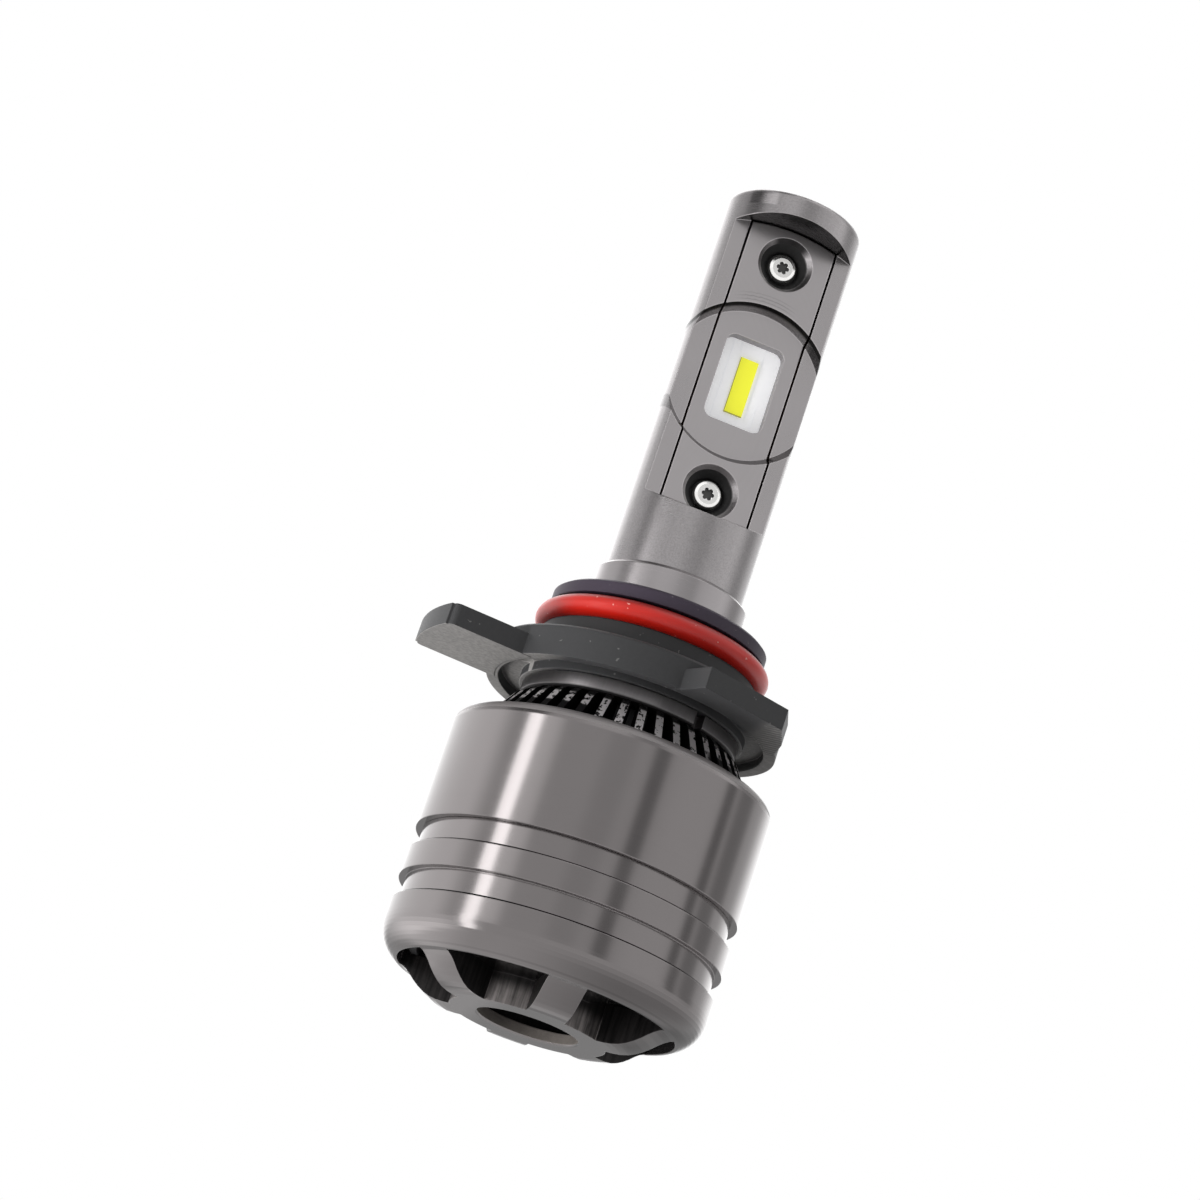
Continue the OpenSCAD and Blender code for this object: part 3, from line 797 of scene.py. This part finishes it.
@dataclass(frozen=True)
class CollarPlastic(Moulded):
    """The collar's plastic: a purplish lip, painted light on the lugs' undersides with ribs drawn
    as stripes of painted shade, painted light on a vent's wall, and a few specks.
    """

    lip: Colour = srgb(56, 48, 60)
    lip_z: float = 5.9
    under: Colour = srgb(118, 116, 114)
    lug_x: Span = (8.5, 11.0)
    rib_pitch: float = 0.62
    rib_way: Span = (0.5, 0.87)
    rib_x: Span = (9.4, 10.2)
    rib_y: Span = (-4.0, -5.0)
    rib_painted_shade: float = 0.8
    vent: Colour = srgb(138, 136, 134)
    vent_centre: Span = (-11.4, -2.42)
    vent_r: Span = (1.12, 1.04)
    dust: Colour = srgb(160, 158, 156)
    dust_grain: Grain = Grain(2.3, 1.0, 0.4)
    dust_amount: float = 0.25

    def local_tint(self, graph: Graph, x: Wire, y: Wire, z: Wire, grain: Wire) -> Wire:
        """Adds the lip's tint, painted light on the undersides with painted shade for their ribs,
        and painted light on the vent's wall.

        Args:
            graph: the material's graph.
            x: place across the front.
            y: place front to back.
            z: height.
            grain: noise that mottles the undersides.

        Returns:
            The tint.
        """
        upward = graph.upward()
        tint = graph.tone(z.rise(self.lip_z - 0.1, self.lip_z), self.tint, self.lip)
        ribs = (self.rib_way[0] * x + self.rib_way[1] * y).stripes(self.rib_pitch, 0.1, 0.8)
        ribs *= x.rise(*self.rib_x) * y.rise(*self.rib_y)
        # Painted light: the lugs' downward faces are toned pale, and the ribs are stripes of
        # painted shade on them.
        under = upward.rise(-0.6, -0.85) * x.size().rise(*self.lug_x)
        mottled = (0.8 + 1.2 * (grain - 0.5)) * (1 - self.rib_painted_shade * ribs)
        tint = graph.tone(under * mottled, tint, self.under)
        # Painted light on the vent's wall.
        vent = length(x - self.vent_centre[0], y - self.vent_centre[1]).rise(*self.vent_r)
        return graph.tone(vent * upward.size().rise(0.6, 0.4), tint, self.vent)

    def dusted(self, graph: Graph, base: Wire, place: Wire) -> Wire:
        """Lays sparse specks of dust over the colour."""
        specks = graph.noise(place, self.dust_grain).rise(0.74, 0.8) * self.dust_amount
        return graph.tone(specks, base, self.dust)


@dataclass(frozen=True)
class SealRubber(Finish):
    """Glossy moulded rubber with slight waves, a few specks of dust, and painted shade under the
    lip.
    """

    tint: Colour = srgb(196, 27, 14)
    dust: Colour = srgb(245, 190, 180)
    dust_grain: Grain = Grain(2.1, 1.0, 0.3)
    dust_amount: float = 0.6
    roughness: float = 0.38
    wave: Grain = Grain(0.35, 2.0)
    wave_tone: float = 0.16
    grain: Grain = Grain(4.0)
    shaded_z: Span = (4.85, 5.35)
    shaded_dark: float = 0.5

    def draw(self, graph: Graph) -> None:
        """A broad noise waves the surface, a sparse one lays the specks, and the top is darkened as
        painted shade under the lip.

        Args:
            graph: the material's graph.
        """
        _, _, z, place = graph.place()
        wave = graph.noise(place, self.wave)
        grain = graph.noise(place, self.grain)
        specks = graph.noise(place, self.dust_grain).rise(0.76, 0.79)
        # Painted shade on the seal's top, under the lip.
        painted_shade_under_lip = 1 - self.shaded_dark * z.rise(*self.shaded_z)
        base = graph.shade(self.tint, (1 + self.wave_tone * (wave - 0.5)) * painted_shade_under_lip)
        graph.surface(
            base_color=graph.tone(specks * self.dust_amount, base, self.dust),
            roughness=self.roughness + 0.2 * (wave - 0.5) + 0.1 * (grain - 0.5),
            specular_ior_level=0.5,
            normal=graph.bump(wave * 4 + grain, 0.006),
        )


@dataclass(frozen=True)
class PlainMetal(Finish):
    """Plated or cast metal with fine scratches, and painted shade in sockets below a depth."""

    tint: Colour = srgb(252, 251, 249)
    roughness: float = 0.22
    scratch: Grain = Grain(6.0)
    scratch_depth: float = 0.004
    cloud: Grain = Grain(0.75, 4.0)
    edge_radius: float = 0.08
    socket_y: float = -1.0
    socket_half: float = 0.72
    socket_painted_shade: float = 0.9

    def draw(self, graph: Graph) -> None:
        """A noise that is stretched along x gives the scratches.

        Args:
            graph: the material's graph.
        """
        x, y, z, place = graph.place()
        cloud = graph.noise(place, self.cloud)
        across = graph.noise(graph.vector(x * 0.2, y, z), self.scratch)
        rounded, worn = graph.edge(self.edge_radius)
        # Painted shade in the sockets.
        socket = y.size().rise(self.socket_y + 0.03, self.socket_y)
        socket *= x.size().rise(self.socket_half, self.socket_half - 0.02)
        shade = (0.95 + 0.1 * (cloud - 0.5) + 0.25 * worn) * (1 - self.socket_painted_shade * socket)
        graph.surface(
            base_color=graph.shade(self.tint, shade),
            metallic=1 - 0.5 * socket,
            roughness=self.roughness + 0.12 * (across - 0.5) + 0.3 * socket,
            normal=graph.bump(across, self.scratch_depth, rounded),
        )


@dataclass(frozen=True)
class SolderMask(Finish):
    """Glossy board lacquer over straight copper tracks that show faintly through it; where set, its
    glow is painted light.
    """

    tint: Colour = srgb(250, 250, 252)
    track: Colour = srgb(232, 234, 240)
    roughness: float = 0.35
    track_mm: float = 0.8
    track_slant: float = 0.31
    track_lengths: Grain = Grain(0.6, 1.0)
    grain: Grain = Grain(6.0, 2.0)
    glow: float = 0.0

    def draw(self, graph: Graph) -> None:
        """Tracks are stripes across the board, cut into lengths by a coarse noise.

        Args:
            graph: the material's graph.
        """
        x, y, z, place = graph.place()
        stripes = (x + self.track_slant * y).stripes(self.track_mm, 0.86, 0.97)
        lengths = graph.noise(graph.vector(x * 1.4, y * 1.4, z * 0.12), self.track_lengths)
        tracks = stripes * lengths.rise(0.5, 0.56)
        grain = graph.noise(place, self.grain)
        base = graph.tone(tracks * 0.6, self.tint, self.track)
        base = graph.shade(base, 1 + 0.03 * (grain - 0.5))
        # Where glow is set, the emission is painted light; the board is no lamp.
        graph.surface(
            base_color=base,
            emission_color=base,
            emission_strength=self.glow,
            roughness=self.roughness + 0.1 * (grain - 0.5),
            normal=graph.bump(tracks + grain * 0.1, 0.004),
        )


@dataclass(frozen=True)
class Phosphor(Finish):
    """Yellow phosphor cast over the light-emitting chips, with painted shadow along two of its
    edges and a painted glow.
    """

    tint: Colour = srgb(252, 252, 60)
    edge: Colour = srgb(120, 112, 60)
    edge_x: Span = (-0.8, -0.86)
    edge_z: Span = (28.9, 28.84)
    edge_painted_shadow: float = 0.75
    powder: Grain = Grain(14.0, 3.0, 0.7)
    roughness: float = 0.32
    glow: float = 0.25

    def draw(self, graph: Graph) -> None:
        """Fine grains of powder in clear resin, with a painted shadow line along the left and lower
        edges.

        Args:
            graph: the material's graph.
        """
        x, _, z, place = graph.place()
        powder = graph.noise(place, self.powder)
        # Painted shadow along the left and lower edges.
        shadow = x.rise(*self.edge_x).most(z.rise(*self.edge_z))
        base = graph.shade(self.tint, 0.97 + 0.1 * (powder - 0.5))
        base = graph.tone(shadow * self.edge_painted_shadow, base, self.edge)
        # The emission is a painted glow; the phosphor is no lamp here.
        graph.surface(
            base_color=base,
            roughness=self.roughness + 0.15 * (powder - 0.5),
            emission_color=base,
            emission_strength=self.glow,
            normal=graph.bump(powder, 0.003),
        )


class Metals(Enum):
    """Metal finishes of the bulb."""

    BURNER = MilledMetal("burner_gunmetal", roughness=0.28,
                         rings=Grain(1 / 0.16, 4.0, 0.6), grain_depth=0.0009)
    COVER = MilledMetal("cover_gunmetal", roughness=0.32, ring_depth=0.0, ring_tone=0.0,
                        grain_depth=0.0011)
    # The neck ring is the burner's metal toned darker as painted shade, like the burner's round
    # faces.
    NECK = TurnedMetal("neck_gunmetal", tint=srgb(150, 146, 147), roughness=0.26)
    HOUSING = TurnedMetal("housing_gunmetal")
    SLEEVE = SleeveMetal("sleeve_gunmetal")
    GUARD = GuardMetal("guard_gunmetal", roughness=0.17)
    LOCK = LockMetal("lock_ring_grey", tint=srgb(136, 133, 134), roughness=0.34, edge_gain=0.1)
    FINS = BlackAnodised("fins_black")
    STEEL = PlainMetal("screw_steel", socket_y=1.9)
    BOARD_STEEL = PlainMetal("board_screw_steel", tint=srgb(225, 224, 222), roughness=0.25)
    SHAFT = PlainMetal("shaft_steel", tint=srgb(205, 205, 206), roughness=0.18)
    # The core's copper is dark: partly oxide, partly painted shade for the gaps between the covers,
    # where it shows.
    CORE = PlainMetal("core_oxide_and_gap_shade", tint=srgb(74, 50, 40), roughness=0.5)
    COPPER = PlainMetal("winding_copper", tint=srgb(200, 120, 84), roughness=0.3)
    BRONZE = PlainMetal("bearing_bronze", tint=srgb(170, 136, 84), roughness=0.5)
    IRON = PlainMetal("magnet_grey", tint=srgb(74, 74, 78), roughness=0.55)


class Plastics(Enum):
    """Plastic, rubber and board finishes of the bulb."""

    COLLAR = CollarPlastic("collar_black")
    FAN = Moulded("fan_black", tint=srgb(30, 30, 31), roughness=0.45, edge_gain=0.3)
    CHIP = Moulded("chip_black", tint=srgb(36, 36, 38), roughness=0.5, grain_depth=0.003)
    GROMMET = Moulded("grommet_black", tint=srgb(26, 26, 26), roughness=0.7,
                      grain=Grain(1 / 0.25, 4.0, 0.6))
    GRIP = Moulded("grip_black", tint=srgb(24, 24, 24), roughness=0.6)
    SEAL = SealRubber("seal_red")
    # The white board's glow is painted light.
    WHITE_BOARD = SolderMask("board_white", glow=0.25)
    GREEN_BOARD = SolderMask("board_green", tint=srgb(22, 74, 44), track=srgb(34, 100, 62))
    PHOSPHOR = Phosphor("phosphor_yellow")


# ---- surfaces


@dataclass
class Shell:
    """A surface given as a grid of points in millimetres, with its quads."""

    points: np.ndarray
    faces: np.ndarray

    @staticmethod
    def grid(points: np.ndarray, closed_u: bool, closed_v: bool) -> "Shell":
        """Joins a grid of points to quads: rows along u, columns along v.

        Args:
            points: array of shape (rows, columns, 3).
            closed_u: whether the last row joins the first.
            closed_v: whether the last column joins the first.

        Returns:
            The shell.
        """
        rows, columns = points.shape[:2]
        index = np.arange(rows * columns).reshape(rows, columns)
        if closed_u:
            index = np.vstack([index, index[:1]])
        if closed_v:
            index = np.hstack([index, index[:, :1]])
        corners = (index[:-1, :-1], index[1:, :-1], index[1:, 1:], index[:-1, 1:])
        faces = np.stack([corner.ravel() for corner in corners], axis=1)
        return Shell(points.reshape(-1, 3), faces)

    def object(self, name: str, material: bpy.types.Material) -> bpy.types.Object:
        """Makes an object of the shell, in metres, and puts it into the scene.

        Args:
            name: the object's name.
            material: its material.

        Returns:
            The new object.
        """
        mesh = bpy.data.meshes.new(name)
        mesh.from_pydata((self.points * MM).tolist(), [], self.faces.tolist())
        mesh.materials.append(material)
        piece = bpy.data.objects.new(name, mesh)
        bpy.context.scene.collection.objects.link(piece)
        return piece


def turned(profile: np.ndarray, steps: int) -> np.ndarray:
    """Turns a profile about the Z axis: (r cos a, r sin a, z) for each angle a.

    Args:
        profile: array of (radius, height) rows.
        steps: number of angles.

    Returns:
        Grid of points, one row for each angle.
    """
    angle = np.linspace(0, 2 * math.pi, steps, endpoint=False)[:, None]
    radius, height = profile[:, 0][None, :], profile[:, 1][None, :]
    return np.stack(
        [radius * np.cos(angle), radius * np.sin(angle), height + 0 * angle], axis=2
    )


_made: dict[str, bpy.types.Material] = {}


def finish_material(finish: Finish) -> bpy.types.Material:
    """Builds a finish once and hands out the same material after that.

    Args:
        finish: the finish.

    Returns:
        Its material.
    """
    if finish.name not in _made:
        _made[finish.name] = finish.build()
    return _made[finish.name]


# ---- sub-assemblies


@dataclass
class SubAssembly:
    """One part of the bulb, with the finish of each of its solids."""

    finishes: dict[str, Enum] = field(default_factory=dict)

    def make(self) -> None:
        """Dresses the sub-assembly's solids."""
        for name, finish in self.finishes.items():
            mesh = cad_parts[name].data
            mesh.materials.clear()
            mesh.materials.append(finish_material(finish.value))
            log.info("dressed %s in %s", name, finish.value.name)


@dataclass
class Burner(SubAssembly):
    """Column with its covers, light strips, screws and neck ring."""

    finishes: dict[str, Enum] = field(default_factory=lambda: {
        "burner_column": Metals.BURNER,
        "led_cover_front": Metals.COVER,
        "led_cover_rear": Metals.COVER,
        "neck_ring": Metals.NECK,
        "copper_core": Metals.CORE,
        "led_board_front": Plastics.WHITE_BOARD,
        "led_board_rear": Plastics.WHITE_BOARD,
        "led_strip_front": Plastics.PHOSPHOR,
        "led_strip_rear": Plastics.PHOSPHOR,
        "cover_screws_front": Metals.STEEL,
        "cover_screws_rear": Metals.STEEL,
    })


@dataclass
class Collar(SubAssembly):
    """Turning collar with its seal and grip rings."""

    finishes: dict[str, Enum] = field(default_factory=lambda: {
        "mount_collar": Plastics.COLLAR,
        "seal_ring": Plastics.SEAL,
        "grip_ring": Plastics.GRIP,
    })
    seal_centre_r: float = 10.08
    seal_z: float = 4.53
    seal_r: float = 1.065
    ridge_height: float = 0.012
    ridge_width: float = 0.09

    def make(self) -> None:
        """Dresses the collar's solids and adds the moulded seal."""
        super().make()
        self.seal()

    def seal(self) -> None:
        """Seal ring: a circle carried round the axis, with a low moulding ridge on its outside.

        The section's radius is r + ridge * exp(-(t / w)^2), t being the angle from the
        outermost point.
        """
        turn = np.linspace(-math.pi, math.pi, 48, endpoint=False)
        section = self.seal_r + self.ridge_height * np.exp(-((turn / self.ridge_width) ** 2))
        radius = self.seal_centre_r + section * np.cos(turn)
        height = self.seal_z + section * np.sin(turn)
        shell = Shell.grid(turned(np.stack([radius, height], axis=1), 240), True, True)
        ring = shell.object("seal_moulding", finish_material(Plastics.SEAL.value))
        ring.data.polygons.foreach_set("use_smooth", np.ones(len(ring.data.polygons), bool))
        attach(ring, "collar")
        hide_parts("seal_ring")
        log.info("seal_moulding replaces seal_ring")


@dataclass
class Cooling(SubAssembly):
    """Heat sink, lock ring, housing, and the fan behind its guard."""

    finishes: dict[str, Enum] = field(default_factory=lambda: {
        "finned_heatsink": Metals.FINS,
        "collar_boss": Metals.FINS,
        "lock_ring": Metals.LOCK,
        "housing_sleeve": Metals.SLEEVE,
        "rear_can": Metals.HOUSING,
        "fan_guard": Metals.GUARD,
        "fan_frame": Plastics.FAN,
        "fan_impeller": Plastics.FAN,
        "fan_bearings": Metals.BRONZE,
        "fan_stator": Metals.COPPER,
        "fan_magnet": Metals.IRON,
        "fan_shaft": Metals.SHAFT,
        "cable_grommet": Plastics.GROMMET,
    })


@dataclass
class Driver(SubAssembly):
    """Driver board with its parts and screws."""

    finishes: dict[str, Enum] = field(default_factory=lambda: {
        "driver_board": Plastics.GREEN_BOARD,
        "driver_parts": Plastics.CHIP,
        "board_screws": Metals.BOARD_STEEL,
    })


# ---- studio


@dataclass(frozen=True)
class Card:
    """A card or flag round the object that shows in its reflections; its angles are in degrees."""

    azimuth: float
    half_width: float
    softness: float
    level: float


@dataclass(frozen=True)
class Lamp:
    """A rectangular lamp that faces the bulb: azimuth in degrees from +X, lengths in metres."""

    name: str
    azimuth: float
    height: float
    gap: float
    size: Span
    watts: float
    mirrored: bool = True

    def hang(self) -> None:
        """Puts the lamp into the scene; unless mirrored, glossy surfaces do not show it."""
        data = bpy.data.lights.new(self.name, "AREA")
        data.shape = "RECTANGLE"
        data.size, data.size_y = self.size
        data.energy = self.watts
        lamp = bpy.data.objects.new(self.name, data)
        bpy.context.scene.collection.objects.link(lamp)
        turn = math.radians(self.azimuth)
        lamp.location = (self.gap * math.cos(turn), self.gap * math.sin(turn), self.height)
        lamp.rotation_mode = "QUATERNION"
        aim = Vector((0, 0, self.height * 0.35)) - lamp.location
        lamp.rotation_quaternion = aim.to_track_quat("-Z", "Y")
        lamp.visible_glossy = self.mirrored


@dataclass
class Studio:
    """Camera, lamps, pale floor and the surroundings that metal reflects.

    The spans named dip are heights of a direction of length 1, from -1 straight down to 1 up.
    """

    eye: Vector = field(default_factory=lambda: Vector((-0.05644, -0.3201, -0.09522)))
    right: Colour = (0.920771, -0.242805, 0.305343)
    up: Colour = (-0.360867, -0.232773, 0.903100)
    ahead: Colour = (0.148201, 0.941734, 0.301950)
    lens_mm: float = 111.3
    lamps: tuple[Lamp, ...] = (
        Lamp("strip", -162, 0.1, 0.55, (0.105, 0.8), 1.05),
        Lamp("overhead", -60, 0.6, 0.25, (0.5, 0.5), 0.8),
        Lamp("low_left", -172, -0.3, 0.4, (0.3, 0.3), 3.6, mirrored=False),
    )
    ambient: float = 0.38
    ambient_below: float = 2.4
    ambient_dip: Span = (-0.4, -0.95)
    cards: tuple[Card, ...] = (
        Card(108, 67, 12, 1.75),
        Card(-152, 8, 6, 1.6),
        Card(-98, 8, 6, 0.8),
        Card(-70, 5, 3, 0.4),
        Card(-35, 20, 10, 1.05),
        Card(-10, 4, 3, 0.36),
        Card(9, 8, 5, 0.5),
    )
    card_base: float = 0.95
    low_cards: tuple[Card, ...] = (Card(80, 25, 15, 0.4), Card(155, 25, 15, 1.7))
    low_base: float = 1.0
    horizon_dip: Span = (-0.1, 0.12)
    nadir_level: float = 1.05
    nadir_dip: Span = (-0.42, -0.62)
    ceiling_level: float = 0.25
    ceiling_dip: Span = (0.7, 0.95)
    screen_cards: tuple[Card, ...] = (
        Card(93, 27, 18, 2.6),
        Card(158, 12, 10, 0.8),
        Card(-173, 15, 8, 0.12),
        Card(-141, 10, 8, 0.9),
        Card(-80, 12, 8, 0.64),
        Card(-55, 9, 6, 1.0),
        Card(-14, 8, 6, 1.45),
        Card(12, 13, 8, 0.62),
    )
    screen_base: float = 1.15
    screen_r: float = 300.0
    screen_z: Span = (96.0, 700.0)
    floor_r: float = 450.0
    floor_gap: float = 0.02
    floor_fade: Span = (180.0, 441.0)
    floor_tone: float = 0.86
    floor_glow: float = 0.12
    steps: int = 96

    def make(self) -> None:
        """Sets up the whole studio."""
        self.camera()
        for lamp in self.lamps:
            lamp.hang()
        self.surroundings()
        self.screen()
        self.floor()
        bpy.context.scene.view_settings.view_transform = "Standard"

    def camera(self) -> None:
        """Camera below the bulb, rolled so that the bulb leans to the right."""
        data = bpy.data.cameras.new("camera")
        data.lens = self.lens_mm
        data.sensor_width = 36
        data.clip_start = 0.01
        data.clip_end = 10
        camera = bpy.data.objects.new("camera", data)
        bpy.context.scene.collection.objects.link(camera)
        back = [-value for value in self.ahead]
        turn = Matrix([self.right, self.up, back]).transposed().to_4x4()
        camera.matrix_world = Matrix.Translation(self.eye) @ turn
        bpy.context.scene.camera = camera

    def surroundings(self) -> None:
        """World: white to the camera, even light on matt surfaces, and cards in reflections."""
        world = bpy.data.worlds.new("studio")
        bpy.context.scene.world = world
        world.use_nodes = True
        graph = Graph(world.node_tree)
        x, y, z = graph.split(graph.node("ShaderNodeTexCoord", out="Generated"))
        reach = length(x, y).most(0.001)
        x, y = x / reach, y / reach
        high = self.ring(x, y, self.cards, self.card_base)
        low = self.ring(x, y, self.low_cards, self.low_base)
        level = low + z.rise(*self.horizon_dip) * (high - low)
        level += z.rise(*self.ceiling_dip) * (self.ceiling_level - level)
        level += z.rise(*self.nadir_dip) * (self.nadir_level - level)
        soft = self.ambient + z.rise(*self.ambient_dip) * (self.ambient_below - self.ambient)
        seen = graph.ray("Camera")
        gloss = graph.ray("Glossy").most(graph.ray("Transmission"))
        strength = seen + (1 - seen) * (gloss * level + (1 - gloss) * soft)
        light = graph.node("ShaderNodeBackground", None,
                           {"Color": (1.0, 1.0, 1.0), "Strength": strength})
        graph.node("ShaderNodeOutputWorld", None, {"Surface": light})

    def ring(self, x: Wire, y: Wire, cards: tuple[Card, ...], base: float) -> Any:
        """Brightness round the horizon: a base level with the cards laid over it in turn.

        Args:
            x: first component of the horizontal direction.
            y: second component of the horizontal direction.
            cards: the cards, the later ones in front.
            base: level where no card stands.

        Returns:
            The level.
        """
        level: Any = base
        for card in cards:
            turn = math.radians(card.azimuth)
            toward = x * math.cos(turn) + y * math.sin(turn)
            outer = math.cos(math.radians(card.half_width + card.softness))
            inner = math.cos(math.radians(max(card.half_width - card.softness, 0.0)))
            level += toward.rise(outer, inner) * (card.level - level)
        return level

    def screen(self) -> None:
        """Round screen above the housing's line of reflection: only reflections meet it.

        It gives the burner cards of its own. It is the pair of heights turned about the axis.
        """
        material, graph = blank_material("screen_light")
        x, y, _, _ = graph.place()
        level = self.ring(x / self.screen_r, y / self.screen_r, self.screen_cards,
                          self.screen_base)
        shine = graph.node("ShaderNodeEmission", None,
                           {"Color": graph.vector(level, level, level), "Strength": 1.0})
        clear = graph.node("ShaderNodeBsdfTransparent")
        graph.close(graph.node("ShaderNodeMixShader", None,
                               {0: graph.ray("Glossy"), 1: clear, 2: shine}))
        profile = np.array([(self.screen_r, height) for height in self.screen_z])
        shell = Shell.grid(turned(profile, self.steps), True, False)
        shell.object("screen", material)

    def floor(self) -> None:
        """Round pale floor that keeps the bulb's shadow, is clear from below and fades outwards."""
        material, graph = blank_material("floor_white")
        x, y, _, _ = graph.place()
        behind = graph.node("ShaderNodeNewGeometry", out="Backfacing")
        clear = behind.most(graph.ray("Shadow")).most(length(x, y).rise(*self.floor_fade))
        clear = clear.most(graph.ray("Glossy"))
        tone = (self.floor_tone,) * 3
        matt = graph.node("ShaderNodeBsdfDiffuse", None, {"Color": tone})
        glow = graph.node("ShaderNodeEmission", None,
                          {"Color": (1.0, 1.0, 1.0), "Strength": self.floor_glow})
        pale = graph.node("ShaderNodeAddShader", None, {0: matt, 1: glow})
        through = graph.node("ShaderNodeBsdfTransparent")
        graph.close(graph.node("ShaderNodeMixShader", None, {0: clear, 1: pale, 2: through}))
        angle = np.linspace(0, 2 * math.pi, self.steps, endpoint=False)
        height = np.full(self.steps, cad_box[0][2] / MM - self.floor_gap)
        rim = np.stack([self.floor_r * np.cos(angle), self.floor_r * np.sin(angle), height], axis=1)
        shell = Shell(rim, np.arange(self.steps)[None, :])
        shell.object("floor", material)


def main() -> None:
    """Builds the studio and each sub-assembly in order."""
    logging.basicConfig(level=logging.INFO, format="%(message)s")
    for assembly in (Studio(), Burner(), Collar(), Cooling(), Driver()):
        assembly.make()
        log.info("%s done", type(assembly).__name__)


if __name__ == "__main__":
    main()
